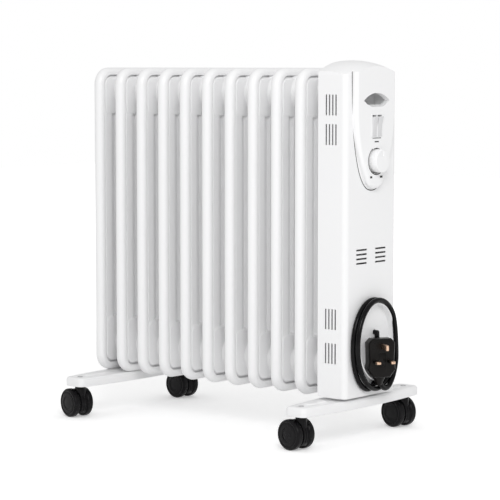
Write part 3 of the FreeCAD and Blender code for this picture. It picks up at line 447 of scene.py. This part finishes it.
def outline_distance(y, z, centre_z, half_y, half_z, radius):
    """How far a point lies outside a rounded rectangle; negative inside."""
    over_y = np.abs(y) - (half_y - radius)
    over_z = np.abs(z - centre_z) - (half_z - radius)
    outside = np.hypot(np.maximum(over_y, 0), np.maximum(over_z, 0))
    return outside + np.minimum(np.maximum(over_y, over_z), 0) - radius
def fin_relief(y, z, low, high, sizes):
    """Half the thickness of a fin's pressed sheets at each point."""
    web, margin = sizes["web"], sizes["margin"]
    lower_top, upper_bottom = low + LOWER_CHAMBER, high - UPPER_CHAMBER
    lift = np.zeros_like(y)
    for bottom, top in ((low + margin, lower_top), (upper_bottom, high - margin)):
        edge = outline_distance(y, z, (bottom + top) / 2, sizes["half_y"] - margin,
                                (top - bottom) / 2, CHAMBER_CORNER)
        lift = np.maximum(lift, (sizes["chamber"] - web) * step_down(edge, sizes["draft"]))
    span = (z > (low + lower_top) / 2) & (z < (high + upper_bottom) / 2)
    for index in range(sizes["channels"]):
        middle = (index - (sizes["channels"] - 1) / 2) * sizes["channel_pitch"]
        edge = np.abs(y - middle) - sizes["channel_width"] / 2
        ridge = (sizes["channel"] - web) * step_down(edge, sizes["draft"])
        lift = np.maximum(lift, np.where(span, ridge, 0))
    return web + lift


def pressed_sheets(x, low, high, sizes):
    """Both sheets of a fin as one closed shell."""
    lower, upper = low + LOWER_CHAMBER + FINE_MARGIN, high - UPPER_CHAMBER - FINE_MARGIN
    rows = np.concatenate([np.arange(low, lower, FINE_ROW), np.arange(lower, upper, COARSE_ROW),
                           np.arange(upper, high, FINE_ROW), [high]])
    columns = np.linspace(-sizes["half_y"], sizes["half_y"], SHEET_COLUMNS)
    y, z = np.meshgrid(columns, rows)
    lift = fin_relief(y, z, low, high, sizes)
    count_z, count_y = y.shape
    vertices = np.concatenate([np.stack([x + side * lift, y, z], axis=-1).reshape(-1, 3)
                               for side in (-1, 1)])
    size = count_z * count_y
    first = (np.arange(count_z - 1)[:, None] * count_y + np.arange(count_y - 1)).reshape(-1, 1)
    front = first + np.array([0, 1, count_y + 1, count_y]) + size
    back = first + np.array([count_y, count_y + 1, 1, 0])
    faces = front.tolist() + back.tolist()
    rim = list(range(count_y))
    rim += [r * count_y + count_y - 1 for r in range(1, count_z)]
    rim += [(count_z - 1) * count_y + c for c in range(count_y - 2, -1, -1)]
    rim += [r * count_y for r in range(count_z - 2, 0, -1)]
    for here, after in zip(rim, rim[1:] + rim[:1]):
        faces.append((here, after, after + size, here + size))
    return [tuple(v) for v in vertices], faces


def collar(top, end):
    """Outline of a header's drawn neck, flared where it leaves the chamber."""
    return [(top - 0.004, 0.033), (top - 0.0005, 0.030), (top + 0.0012, 0.0275),
            (top + 0.004, 0.0252), (top + 0.008, 0.0236), (end - 0.0012, 0.0230),
            (end, 0.0222), (end, 0.012), (top - 0.004, 0.012)]


def blind_cap(top):
    """Outline of the flat end where a header stops."""
    return [(top - 0.003, 0.0), (top - 0.003, 0.0265), (top, 0.026), (top + 0.0012, 0.0235),
            (top + 0.0014, 0.012), (top + 0.0014, 0.0)]


def header_part(profile, x, z, side):
    """An outline turned about a header's axis, on one side of a fin."""
    vertices, faces = turned(profile, COLLAR_SEGMENTS)
    return [(x + side * a, b, z + c) for a, b, c in vertices], faces


def rim_tree():
    """Geometry nodes: a rolled rim with rounded shoulders, swept round a fin's outline."""
    tree = bpy.data.node_groups.new("Fin with rolled rim", "GeometryNodeTree")
    sizes = [("Depth", 0.123), ("Height", 0.482), ("Corner", 0.0265), ("Rim width", 0.017),
             ("Rim depth", 0.0115), ("Rounding", 0.0084), ("Middle X", 0.0), ("Middle Z", 0.3)]
    add_sockets(tree, [("Geometry", "Geometry", None)]
                + [(name, "Float", value) for name, value in sizes]
                + [("Finish", "Material", None)], [("Geometry", "Geometry")])
    enter, leave = add_node(tree, "NodeGroupInput"), add_node(tree, "NodeGroupOutput")
    given = enter.outputs

    def value(operation, first, second):
        node = add_node(tree, "ShaderNodeMath", operation=operation)
        for socket, source in zip(node.inputs, (first, second)):
            if isinstance(source, float):
                socket.default_value = source
            else:
                link(tree, source, socket)
        return node.outputs[0]

    path = add_node(tree, "GeometryNodeCurvePrimitiveQuadrilateral")
    link(tree, value("SUBTRACT", given["Depth"], given["Rim depth"]), path.inputs["Width"])
    link(tree, value("SUBTRACT", given["Height"], given["Rim depth"]), path.inputs["Height"])
    bend = add_node(tree, "GeometryNodeFilletCurve", [("Count", CORNER_STEPS)], mode="POLY")
    half_depth = value("MULTIPLY", given["Rim depth"], 0.5)
    link(tree, path.outputs["Curve"], bend.inputs["Curve"])
    link(tree, value("SUBTRACT", given["Corner"], half_depth), bend.inputs["Radius"])
    section = add_node(tree, "GeometryNodeCurvePrimitiveQuadrilateral")
    link(tree, given["Rim depth"], section.inputs["Width"])
    link(tree, given["Rim width"], section.inputs["Height"])
    place = add_node(tree, "GeometryNodeInputPosition")
    split = add_node(tree, "ShaderNodeSeparateXYZ")
    link(tree, place.outputs["Position"], split.inputs["Vector"])
    outer = value("GREATER_THAN", split.outputs["X"], 0.0)
    extra = value("MULTIPLY", outer, value("SUBTRACT", given["Rounding"], INNER_ROUND))
    shoulder = add_node(tree, "GeometryNodeFilletCurve", [("Count", SHOULDER_STEPS)], mode="POLY")
    link(tree, section.outputs["Curve"], shoulder.inputs["Curve"])
    link(tree, value("ADD", extra, INNER_ROUND), shoulder.inputs["Radius"])
    sweep = add_node(tree, "GeometryNodeCurveToMesh")
    link(tree, bend.outputs["Curve"], sweep.inputs["Curve"])
    link(tree, shoulder.outputs["Curve"], sweep.inputs["Profile Curve"])
    middle = add_node(tree, "ShaderNodeCombineXYZ")
    link(tree, given["Middle X"], middle.inputs["X"])
    link(tree, given["Middle Z"], middle.inputs["Z"])
    upright = (math.pi / 2, 0, math.pi / 2)
    stand = add_node(tree, "GeometryNodeTransform", [("Rotation", upright)])
    link(tree, middle.outputs["Vector"], stand.inputs["Translation"])
    link(tree, sweep.outputs["Mesh"], stand.inputs["Geometry"])
    join = add_node(tree, "GeometryNodeJoinGeometry")
    link(tree, given["Geometry"], join.inputs["Geometry"])
    link(tree, stand.outputs["Geometry"], join.inputs["Geometry"])
    real = add_node(tree, "GeometryNodeRealizeInstances")
    link(tree, join.outputs["Geometry"], real.inputs["Geometry"])
    paint = add_node(tree, "GeometryNodeSetMaterial")
    link(tree, real.outputs["Geometry"], paint.inputs["Geometry"])
    link(tree, given["Finish"], paint.inputs["Material"])
    link(tree, paint.outputs["Geometry"], leave.inputs["Geometry"])
    return tree
def grow(obj, tree, values):
    """Run a geometry tree on an object with these inputs and keep the result as plain mesh."""
    modifier = obj.modifiers.new("Nodes", "NODES")
    modifier.node_group = tree
    identifiers = {item.name: item.identifier for item in tree.interface.items_tree
                   if item.item_type == "SOCKET" and item.in_out == "INPUT"}
    for name, value in values.items():
        modifier[identifiers[name]] = value
    obj.update_tag()
    return settle(obj)
def header_heights():
    """Heights of the lower and upper headers."""
    port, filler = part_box("element_port"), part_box("oil_filler_plug")
    return (port[0].z + port[1].z) / 2, (filler[0].z + filler[1].z) / 2


class RADIATOR_OT_fins(bpy.types.Operator):
    """Build each fin: two pressed sheets, the rolled rim and the headers' collars"""
    bl_idname = "radiator.fins"
    bl_label = "Fins"

    def execute(self, context):
        settings = context.scene.radiator_fins
        sizes = {name: getattr(settings, name) for name in FinSettings.__annotations__}
        top = settings.chamber
        tree = rim_tree()
        lower, upper = header_heights()
        boxes = [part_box(node) for node in FIN_NODES]
        pitch = boxes[2][0].x - boxes[1][0].x
        first_x = boxes[1][0].x - pitch / 2
        for index, (node, (low, high)) in enumerate(zip(FIN_NODES, boxes)):
            x = first_x + index * pitch
            sizes["half_y"] = (high.y - low.y) / 2 - settings.rim_depth + RIM_OVERLAP
            vertices, faces = pressed_sheets(x, low.z + settings.rim_depth,
                                             high.z - settings.rim_depth, sizes)
            last = node == FIN_NODES[-1]
            for z, side in ((lower, -1), (lower, 1), (upper, -1), (upper, 1)):
                blind = (index == 0 and side < 0) or (last and side > 0 and z == upper)
                profile = blind_cap(top) if blind else collar(top, pitch / 2)
                add_part(vertices, faces, header_part(profile, x, z, side))
            obj = new_object("radiator_" + node, mesh_from(node, vertices, faces))
            obj = grow(obj, tree, {
                "Depth": high.y - low.y, "Height": high.z - low.z, "Middle X": x,
                "Middle Z": (low.z + high.z) / 2, "Corner": settings.corner_radius,
                "Rim width": settings.rim_width, "Rim depth": settings.rim_depth,
                "Rounding": settings.rim_round, "Finish": MATERIALS["white_enamel"]})
            tidy_normals(obj.data)
            dress(obj, ROOT, "white_enamel", [node], angle=50)
        return {"FINISHED"}


# ------------------------------------------------------------------ box, panel and feet
SHEET_EDGE, KNOB_EDGE, MOULDED_EDGE, FOOT_EDGE = 0.0003, 0.0004, 0.0007, 0.0009

GRIP_HEIGHT, GRIP_RADIUS = 0.499, 0.0195
GRIP_HALF_WIDTH, GRIP_WALL = 0.033, 0.001
GRIP_INSET = 0.0014                  # from the box's end face in to the hollow's mouth
GRIP_STEPS = 24

STRIPE_LIFT = 0.00012                 # off the surface it is laid on, for print and painted shade alike
CAST_START = 0.005                   # in front of the panel
SCALE_AND_SHADE_GAP = 0.0030                   # from the knob's edge out to its scale, which is printed and is also painted shade for the gap round the knob
SCALE_AND_SHADE_FIRST, SCALE_AND_SHADE_STEP, SCALE_AND_SHADE_POINTS = 28, 8.5, 33        # degrees, round from the top
SCALE_AND_SHADE_WIDTH, SCALE_AND_SHADE_GROWTH = 0.0011, 0.0008
KNOB_BARS = ((-0.0131, 0.0050), (0.0114, 0.0065))          # middle and width of each
KNOB_BAR_DROP, KNOB_BAR_HEIGHT = 0.0235, 0.0030
# painted shadow line under the switches' frame: its drop below the rockers, its margin and its thickness
SWITCH_SHADOW_DROP, SWITCH_SHADOW_MARGIN, SWITCH_SHADOW_HEIGHT = 0.0022, 0.001, 0.0010
SWITCH_BAR_DROP, SWITCH_BAR_WIDTH, SWITCH_BAR_HEIGHT = 0.0052, 0.010, 0.0018
# width of the painted shadow line along the tongue's joint
SEAM_SHADOW_WIDTH = 0.0014
# control points, across and up, of the joint round the panel's tongue, along which a painted shadow line runs
SEAM_SIDE = ((-0.0478, 0.541), (-0.0476, 0.507), (-0.0462, 0.470), (-0.0422, 0.4356),
             (-0.0350, 0.4060), (-0.0265, 0.3850), (-0.0140, 0.3705))
SEAM_TIP = (0.0, 0.3680)


def outer_surface(*nodes):
    """A function from (y, z) to the x of the outermost of these pieces' surfaces."""
    trees = []
    for node in nodes:
        mesh = frame["nodes"][node].data
        trees.append(BVHTree.FromPolygons([v.co for v in mesh.vertices],
                                          [tuple(p.vertices) for p in mesh.polygons]))
    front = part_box("control_panel")[1].x + CAST_START

    def depth(place):
        start = Vector((front, place.x, place.y))
        hits = [tree.ray_cast(start, Vector((-1, 0, 0)))[0] for tree in trees]
        return max(hit.x for hit in hits if hit)

    return depth


def dark_stripe(line, widths, depth):
    """Vertices and faces of a flat stripe along (y, z) points, laid at depth(place)."""
    vertices, faces = [], []
    for index, point in enumerate(line):
        here = Vector(point)
        along = Vector(line[min(index + 1, len(line) - 1)]) - Vector(line[max(index - 1, 0)])
        across = Vector((-along.y, along.x)).normalized() * widths[index] / 2
        for edge in (here - across, here + across):
            vertices.append((depth(edge) + STRIPE_LIFT, edge.x, edge.y))
        if index:
            base = 2 * index
            faces.append((base - 2, base - 1, base + 1, base))
    return vertices, faces


def level_bar(middle, height, width, thickness):
    """The (y, z) points and widths of a level stripe."""
    return ([(middle - width / 2, height), (middle + width / 2, height)],
            [thickness, thickness])


def tongue_seam():
    """Points along the joint round the panel's tongue, drawn in to a rounded tip."""
    places = [*SEAM_SIDE, SEAM_TIP, *((-y, z) for y, z in reversed(SEAM_SIDE))]
    curve = nurbs_curve("seam", [(0.0, y, z) for y, z in places], order=4, resolution=12)
    obj = settle(new_object("seam", curve))
    line = [(v.co.y, v.co.z) for v in obj.data.vertices]
    bpy.data.objects.remove(obj)
    return line


def grip_hollow():
    """The barrel-shaped back of the hand grip, closed at both ends."""
    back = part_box("box_cover")[1].x - GRIP_INSET
    turns = [math.pi * step / GRIP_STEPS for step in range(GRIP_STEPS + 1)]
    vertices = [(back - GRIP_RADIUS * math.sin(turn), side * GRIP_HALF_WIDTH,
                 GRIP_HEIGHT + GRIP_RADIUS * math.cos(turn)) for side in (-1, 1) for turn in turns]
    size = len(turns)
    faces = [(i, i + 1, i + 1 + size, i + size) for i in range(size - 1)]
    faces += [tuple(range(size)), tuple(range(2 * size - 1, size - 1, -1))]
    obj = new_object("grip_hollow", mesh_from("hollow", vertices, faces))
    tidy_normals(obj.data)
    wall = obj.modifiers.new("Wall", "SOLIDIFY")
    wall.thickness = GRIP_WALL
    wall.offset = 1.0
    return settle(obj)


class RADIATOR_OT_marks(bpy.types.Operator):
    """Print the plain scale round the dial, which is also painted shade for the knob's gap, and the bare marks,
    and lay painted shadow lines under the switches and along the tongue's seam
    """
    bl_idname = "radiator.marks"
    bl_label = "Printed marks"

    def execute(self, context):
        low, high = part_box("thermostat_knob")
        y, z = (low.y + high.y) / 2, (low.z + high.z) / 2
        # the dial's printed scale, widening round the knob; it is also painted shade, standing in for the shadow
        # in the gap round the knob
        radius = (high.z - low.z) / 2 + SCALE_AND_SHADE_GAP
        turns = [math.radians(SCALE_AND_SHADE_FIRST + SCALE_AND_SHADE_STEP * step) for step in range(SCALE_AND_SHADE_POINTS)]
        stripes = [([(y - radius * math.sin(turn), z + radius * math.cos(turn)) for turn in turns],
                    [SCALE_AND_SHADE_WIDTH + SCALE_AND_SHADE_GROWTH * step / SCALE_AND_SHADE_POINTS
                     for step in range(SCALE_AND_SHADE_POINTS)])]
        for middle, width in KNOB_BARS:
            stripes.append(level_bar(y + middle, z - KNOB_BAR_DROP, width, KNOB_BAR_HEIGHT))
        left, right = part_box("rocker_left"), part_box("rocker_right")
        # painted shadow: a dark line under the switches' frame, where its shadow falls
        under = min(left[0].z, right[0].z) - SWITCH_SHADOW_DROP
        stripes.append(level_bar(0.0, under, right[1].y - left[0].y - 2 * SWITCH_SHADOW_MARGIN, SWITCH_SHADOW_HEIGHT))
        stripes.append(level_bar(0.0, under - SWITCH_BAR_DROP, SWITCH_BAR_WIDTH,
                                 SWITCH_BAR_HEIGHT))
        surface = outer_surface("control_panel", "box_cover")
        vertices, faces = [], []
        for line, widths in stripes:
            add_part(vertices, faces, dark_stripe(line, widths, surface))
        # painted shadow: a dark line laid flat on the box's end face along the tongue's joint, where the gap's
        # shadow falls
        seam, end_face = tongue_seam(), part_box("box_cover")[1].x
        add_part(vertices, faces,
                 dark_stripe(seam, [SEAM_SHADOW_WIDTH] * len(seam), lambda place: end_face))
        # one dark piece: the print, the painted shadow lines and the scale's painted shade
        dress(new_object("panel_print", mesh_from("print", vertices, faces)), ROOT,
              "black_plastic")
        return {"FINISHED"}


class RADIATOR_OT_box(bpy.types.Operator):
    """Round the sheet edges of the control box and its base"""
    bl_idname = "radiator.box"
    bl_label = "Control box"

    def execute(self, context):
        for node in ("box_back_plate", "box_base"):
            dress(eased_copy(node, "sheet_" + node, SHEET_EDGE), ROOT, "white_enamel", [node])
        return {"FINISHED"}


class RADIATOR_OT_panel(bpy.types.Operator):
    """Round the knob, switches, their frames and the tray, and close the hand grip"""
    bl_idname = "radiator.panel"
    bl_label = "Control panel"

    def execute(self, context):
        dress(eased_copy("thermostat_knob", "dial_knob", KNOB_EDGE), "thermostat_dial",
              "white_plastic", ["thermostat_knob"])
        for side in ("left", "right"):
            rocker, switch = "rocker_" + side, "switch_body_" + side
            dress(eased_copy(rocker, "rocker_key_" + side, MOULDED_EDGE, segments=3), rocker,
                  "rocker_plastic", [rocker])
            dress(eased_copy(switch, "switch_case_" + side, SHEET_EDGE), ROOT,
                  "white_plastic", [switch])
        dress(eased_copy("cord_tray", "flex_tray", MOULDED_EDGE, segments=3), ROOT,
              "white_plastic", ["cord_tray"])
        dress(grip_hollow(), ROOT, "white_plastic")
        return {"FINISHED"}


class RADIATOR_OT_feet(bpy.types.Operator):
    """Round the pressed feet"""
    bl_idname = "radiator.feet"
    bl_label = "Feet"

    def execute(self, context):
        for side in ("left", "right"):
            node = "foot_" + side
            dress(eased_copy(node, "pressed_" + node, FOOT_EDGE, segments=3, angle=24), ROOT,
                  "white_enamel", [node])
        return {"FINISHED"}


# ------------------------------------------------------------------ casters
WHEEL_INNER, WHEEL_WIDTH, WHEEL_BORE = 0.0060, 0.0120, 0.003
WHEEL_ROUND, WHEEL_ROUND_STEPS = 0.0012, 3
WHEEL_SEGMENTS = 64
DISC_SHARE = 0.45                    # of the wheel's radius that its raised disc takes up
HOOD_EDGE = 0.0006


def wheel_profile(width, radius, bore):
    """Outline of one wheel: rounded tread, a groove and a stepped disc."""
    corners = [(0.0, radius - 0.0022), (0.0022, radius), (width - 0.0026, radius),
               (width - 0.0004, radius - 0.0026), (width - 0.0004, radius - 0.0044),
               (width - 0.0016, radius - 0.0052), (width - 0.0006, radius - 0.0066),
               (width, radius * DISC_SHARE)]
    return [(0.0, bore), *rounded(corners, WHEEL_ROUND, WHEEL_ROUND_STEPS),
            (width + 0.0002, 0.0), (width - 0.004, 0.0), (width - 0.004, bore)]


class RADIATOR_OT_casters(bpy.types.Operator):
    """Build the wheels and round the hoods of the casters"""
    bl_idname = "radiator.casters"
    bl_label = "Casters"

    def execute(self, context):
        for name in CASTERS:
            joint = JOINTS["wheels_%s_spin" % name]
            centre = Vector(joint["pos_m"])
            turn = Vector(joint["axis"]).normalized().to_track_quat("X", "Z").to_matrix()
            outline, sides = turned(wheel_profile(WHEEL_WIDTH, centre.z, WHEEL_BORE),
                                    WHEEL_SEGMENTS)
            vertices, faces = [], []
            for side in (-1, 1):
                wheel = [tuple(turn @ Vector((side * (WHEEL_INNER + along), across, up)) + centre)
                         for along, across, up in outline]
                add_part(vertices, faces, (wheel, sides))
            obj = new_object("wheel_pair_" + name, mesh_from("wheels", vertices, faces))
            tidy_normals(obj.data)
            dress(obj, "wheels_" + name, "caster_plastic", ["caster_%s_wheels" % name], angle=40)
            node = "caster_%s_hood" % name
            dress(eased_copy(node, "hood_" + name, HOOD_EDGE, segments=3), "caster_" + name,
                  "caster_plastic", [node])
        return {"FINISHED"}


# ------------------------------------------------------------------ flex and plug
# in millimetres: from the strain relief down through the tray's notch and under the plug
LEAD_IN = ((247.6, 8.0, 133), (246.8, 9.8, 120), (246.1, 10.6, 107), (245.8, 9.8, 95.5),
           (245.8, 5.2, 85.5), (245.8, -3.0, 79), (245.8, -14.0, 77.5), (245.8, -25.0, 82.5),
           (245.8, -34.0, 91.5), (245.8, -40.8, 103.5), (245.8, -45.2, 117))
# in millimetres: off the coil, under the plug and up towards its neck
LEAD_OUT = ((254.2, 47.6, 124), (254.8, 44.2, 108), (255.6, 38.5, 95.5), (256.8, 31.0, 85.5),
            (258.2, 21.5, 78.5), (259.4, 10.8, 77.5), (259.4, 2.0, 83))
# in turns of the coil: where it starts, what the listed ends take from it, and where
# the second turn moves forward over the first
COIL_FIRST, COIL_MISSING = -0.03, 0.45
FORWARD_FROM, FORWARD_OVER = 0.42, 0.39
TAIL_OFFSET, TAIL_BELOW, TAIL_INSIDE = 0.0005, 0.0045, 0.006
# the moulded grip's height above the plug's neck and its radius, then its two stretches
PLUG_GRIP = ((0.003, 0.0), (0.003, 0.0105), (-0.001, 0.0100), (-0.005, 0.0078),
             (-0.009, 0.0058), (-0.0125, 0.0046), (-0.0125, 0.0))
PLUG_GRIP_ACROSS, PLUG_GRIP_ALONG, PLUG_GRIP_SEGMENTS = 0.85, 1.05, 32
FLEX_EDGE, PLUG_EDGE, PIN_EDGE, LID_EDGE = 0.0006, 0.0022, 0.0006, 0.0004


def centre_and_half(box, margin=0.0):
    """The middle of a box and its half sizes, less a margin."""
    return (box[0] + box[1]) / 2, (box[1] - box[0]) / 2 - Vector((margin, margin, margin))


def flex_route(settings):
    """Control points: down through the tray's notch, round the tray, up into the plug."""
    lead, tail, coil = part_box("cord_lead"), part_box("cord_tail"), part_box("cord_coil")
    start, end = centre_and_half(lead)[0], centre_and_half(tail)[0]
    middle, half = centre_and_half(coil, settings.diameter / 2)
    back, front = middle.x - half.x, middle.x + half.x
    points = [Vector((start.x, start.y, lead[1].z))]
    points += [millimetres(*place) for place in LEAD_IN]
    reach = 1 / math.cos(math.pi / settings.points_per_turn)
    for step in range(int((settings.turns - COIL_MISSING) * settings.points_per_turn)):
        turn = step / settings.points_per_turn + COIL_FIRST
        angle = 2 * math.pi * turn
        share = min(1.0, max(0.0, (turn - FORWARD_FROM) / FORWARD_OVER))
        gather = settings.gather * max(0.0, -math.sin(angle)) ** 3
        points.append(Vector((back + share * (front - back),
                              middle.y - reach * half.y * math.cos(angle),
                              middle.z + reach * half.z * math.sin(angle) + gather)))
    points += [millimetres(*place) for place in LEAD_OUT]
    points += [Vector((end.x, end.y + TAIL_OFFSET, tail[1].z - TAIL_BELOW)),
               Vector((end.x, end.y, tail[1].z + TAIL_INSIDE))]
    return points


def nurbs_curve(name, points, order, resolution):
    """A curve that runs smoothly from the first point to the last."""
    curve = bpy.data.curves.new(name, "CURVE")
    curve.dimensions = "3D"
    curve.resolution_u = resolution
    spline = curve.splines.new("NURBS")
    spline.points.add(len(points) - 1)
    for item, point in zip(spline.points, points):
        item.co = (*point, 1)
    spline.order_u = order
    spline.use_endpoint_u = True
    return curve


def cord_grip():
    """The moulded grip that tapers from the plug's neck on to the flex."""
    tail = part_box("cord_tail")
    middle, top = centre_and_half(tail)[0], tail[1].z
    vertices, faces = turned(PLUG_GRIP, PLUG_GRIP_SEGMENTS)
    placed = [(middle.x + PLUG_GRIP_ACROSS * b, middle.y + PLUG_GRIP_ALONG * c, top + a)
              for a, b, c in vertices]
    obj = new_object("plug_cord_grip", mesh_from("grip", placed, faces))
    tidy_normals(obj.data)
    return obj


class RADIATOR_OT_flex(bpy.types.Operator):
    """Wind the flex round its tray and finish the plug"""
    bl_idname = "radiator.flex"
    bl_label = "Flex and plug"

    def execute(self, context):
        settings = context.scene.radiator_cord
        points = flex_route(settings)
        curve = nurbs_curve("mains_flex", points, order=3, resolution=5)
        curve.bevel_depth = settings.diameter / 2
        curve.bevel_resolution = 5
        flex = new_object("mains_flex", curve)
        flex.data.materials.append(MATERIALS["cord_rubber"])
        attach(flex, ROOT)
        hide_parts("cord_coil", "cord_lead", "cord_tail")
        gland = dress(eased_copy("cord_gland", "strain_relief", FLEX_EDGE, segments=3), ROOT,
                      "cord_rubber", ["cord_gland"])
        body = dress(eased_copy("plug_body", "plug_moulding", PLUG_EDGE, segments=4, angle=20),
                     ROOT, "plug_plastic", ["plug_body"])
        grip = dress(cord_grip(), ROOT, "plug_plastic")
        pins = dress(eased_copy("plug_pins", "plug_brass_pins", PIN_EDGE), ROOT, "brass",
                     ["plug_pins"])
        cover = dress(eased_copy("plug_fuse_cover", "plug_fuse_lid", LID_EDGE), ROOT,
                      "plug_plastic", ["plug_fuse_cover"])
        return {"FINISHED"}


# ------------------------------------------------------------------ the other construction pieces
class RADIATOR_OT_metalwork(bpy.types.Operator):
    """Finish the pieces that keep their construction shape"""
    bl_idname = "radiator.metalwork"
    bl_label = "Fixings and inner parts"

    def execute(self, context):
        slots = {row["node"]: row["material_slot"] for row in frame["record"]["subparts"]}
        for name, obj in frame["nodes"].items():
            if not obj.hide_render:
                mesh = obj.data
                mesh.materials.clear()
                mesh.materials.append(MATERIALS[slots[name]])
                mesh.polygons.foreach_set("use_smooth", [True] * len(mesh.polygons))
        return {"FINISHED"}


# ------------------------------------------------------------------ stage
KEY_PLACE, KEY_AIM, KEY_SIZE = (2.0, -2.1, 1.9), (0, 0, 0.3), 1.3
FLOOR_HALF = 6.0
GLOW_NEAR, GLOW_FAR = (0.5, 0.33), (1.3, 0.60)      # distance and strength
SENSOR_WIDTH = 36.0                                 # millimetres
WHITE = (1, 1, 1, 1)


def place_looking(obj, place, aim):
    """Put a camera or a lamp in the scene, facing a point."""
    bpy.context.scene.collection.objects.link(obj)
    obj.location = place
    obj.rotation_mode = "QUATERNION"
    obj.rotation_quaternion = (aim - place).to_track_quat("-Z", "Y")


def key_light(power):
    """The soft light in front of the heater."""
    data = bpy.data.lights.new("Key softbox", "AREA")
    data.shape = "DISK"
    data.size = KEY_SIZE
    data.energy = power
    lamp = bpy.data.objects.new("Key softbox", data)
    place_looking(lamp, Vector(KEY_PLACE), Vector(KEY_AIM))


def seen_directly(tree, second_ray):
    """1 for camera rays and for one more kind of ray, 0 for the light that the scene gets."""
    rays = add_node(tree, "ShaderNodeLightPath")
    seen = add_node(tree, "ShaderNodeMath", operation="MAXIMUM")
    link(tree, rays.outputs["Is Camera Ray"], seen.inputs[0])
    link(tree, rays.outputs[second_ray], seen.inputs[1])
    return seen.outputs[0]


def floor_material():
    """Pale floor that keeps the shadow and reads white further out."""
    material = bpy.data.materials.new("Studio floor")
    material.use_nodes = True
    tree = material.node_tree
    shader = tree.nodes["Principled BSDF"]
    for socket, value in (("Base Color", (0.9, 0.9, 0.9, 1)), ("Roughness", 0.9),
                          ("Specular IOR Level", 0.1), ("Emission Color", WHITE)):
        shader.inputs[socket].default_value = value
    place = add_node(tree, "ShaderNodeTexCoord")
    reach = add_node(tree, "ShaderNodeVectorMath", operation="LENGTH")
    link(tree, place.outputs["Object"], reach.inputs[0])
    fade = add_node(tree, "ShaderNodeMapRange",
                    [("From Min", GLOW_NEAR[0]), ("From Max", GLOW_FAR[0]),
                     ("To Min", GLOW_NEAR[1]), ("To Max", GLOW_FAR[1])])
    link(tree, reach.outputs["Value"], fade.inputs["Value"])
    glow = add_node(tree, "ShaderNodeMath", operation="MULTIPLY")
    link(tree, seen_directly(tree, "Is Glossy Ray"), glow.inputs[0])
    link(tree, fade.outputs["Result"], glow.inputs[1])
    link(tree, glow.outputs[0], shader.inputs["Emission Strength"])
    return material


def room_light(strength):
    """Even light from all round, behind a plain white backdrop."""
    world = bpy.data.worlds.new("Studio")
    bpy.context.scene.world = world
    world.use_nodes = True
    tree = world.node_tree
    light = tree.nodes["Background"]
    light.inputs["Color"].default_value = WHITE
    light.inputs["Strength"].default_value = strength
    white = add_node(tree, "ShaderNodeBackground", [("Color", WHITE), ("Strength", 1.0)])
    mix = add_node(tree, "ShaderNodeMixShader")
    link(tree, seen_directly(tree, "Is Transmission Ray"), mix.inputs["Fac"])
    link(tree, light.outputs[0], mix.inputs[1])
    link(tree, white.outputs[0], mix.inputs[2])
    link(tree, mix.outputs[0], tree.nodes["World Output"].inputs["Surface"])


class RADIATOR_OT_stage(bpy.types.Operator):
    """Set the camera, the soft light and the pale floor"""
    bl_idname = "radiator.stage"
    bl_label = "Stage"

    def execute(self, context):
        settings = context.scene.radiator_stage
        aim, a, e = Vector(settings.aim), settings.azimuth, settings.elevation
        back = Vector((math.sin(a) * math.cos(e), -math.cos(a) * math.cos(e), math.sin(e)))
        data = bpy.data.cameras.new("Camera")
        data.lens = settings.lens
        data.sensor_width = SENSOR_WIDTH
        camera = bpy.data.objects.new("Camera", data)
        place_looking(camera, aim + back * settings.distance, aim)
        context.scene.camera = camera
        context.scene.view_settings.view_transform = "Standard"
        room_light(settings.room)
        key_light(settings.key)
        corners = [(x * FLOOR_HALF, y * FLOOR_HALF, 0)
                   for x, y in ((-1, -1), (1, -1), (1, 1), (-1, 1))]
        floor = new_object("floor", mesh_from("floor", corners, [(0, 1, 2, 3)]))
        floor.data.materials.append(floor_material())
        return {"FINISHED"}


# ------------------------------------------------------------------ panel in the sidebar
OPERATORS = (RADIATOR_OT_materials, RADIATOR_OT_stage, RADIATOR_OT_flex, RADIATOR_OT_fins,
             RADIATOR_OT_box, RADIATOR_OT_panel, RADIATOR_OT_marks, RADIATOR_OT_feet,
             RADIATOR_OT_casters, RADIATOR_OT_metalwork)
class RADIATOR_PT_sidebar(bpy.types.Panel):
    """The heater's sizes and the steps that build it"""
    bl_idname = "RADIATOR_PT_sidebar"
    bl_label = "Radiator"
    bl_space_type = "VIEW_3D"
    bl_region_type = "UI"
    bl_category = "Radiator"

    def draw(self, context):
        for name, group in SETTINGS:
            box = self.layout.box()
            for prop in group.__annotations__:
                box.prop(getattr(context.scene, name), prop)
        for operator in OPERATORS:
            self.layout.operator(operator.bl_idname)


CLASSES = tuple(group for _, group in SETTINGS) + OPERATORS + (RADIATOR_PT_sidebar,)


def register():
    for item in CLASSES:
        bpy.utils.register_class(item)
    for name, group in SETTINGS:
        setattr(bpy.types.Scene, name, bpy.props.PointerProperty(type=group))


def unregister():
    for name, _ in SETTINGS:
        delattr(bpy.types.Scene, name)
    for item in reversed(CLASSES):
        bpy.utils.unregister_class(item)


def main():
    register()
    for operator in OPERATORS:
        family, name = operator.bl_idname.split(".")
        getattr(getattr(bpy.ops, family), name)()


if __name__ == "__main__":
    main()
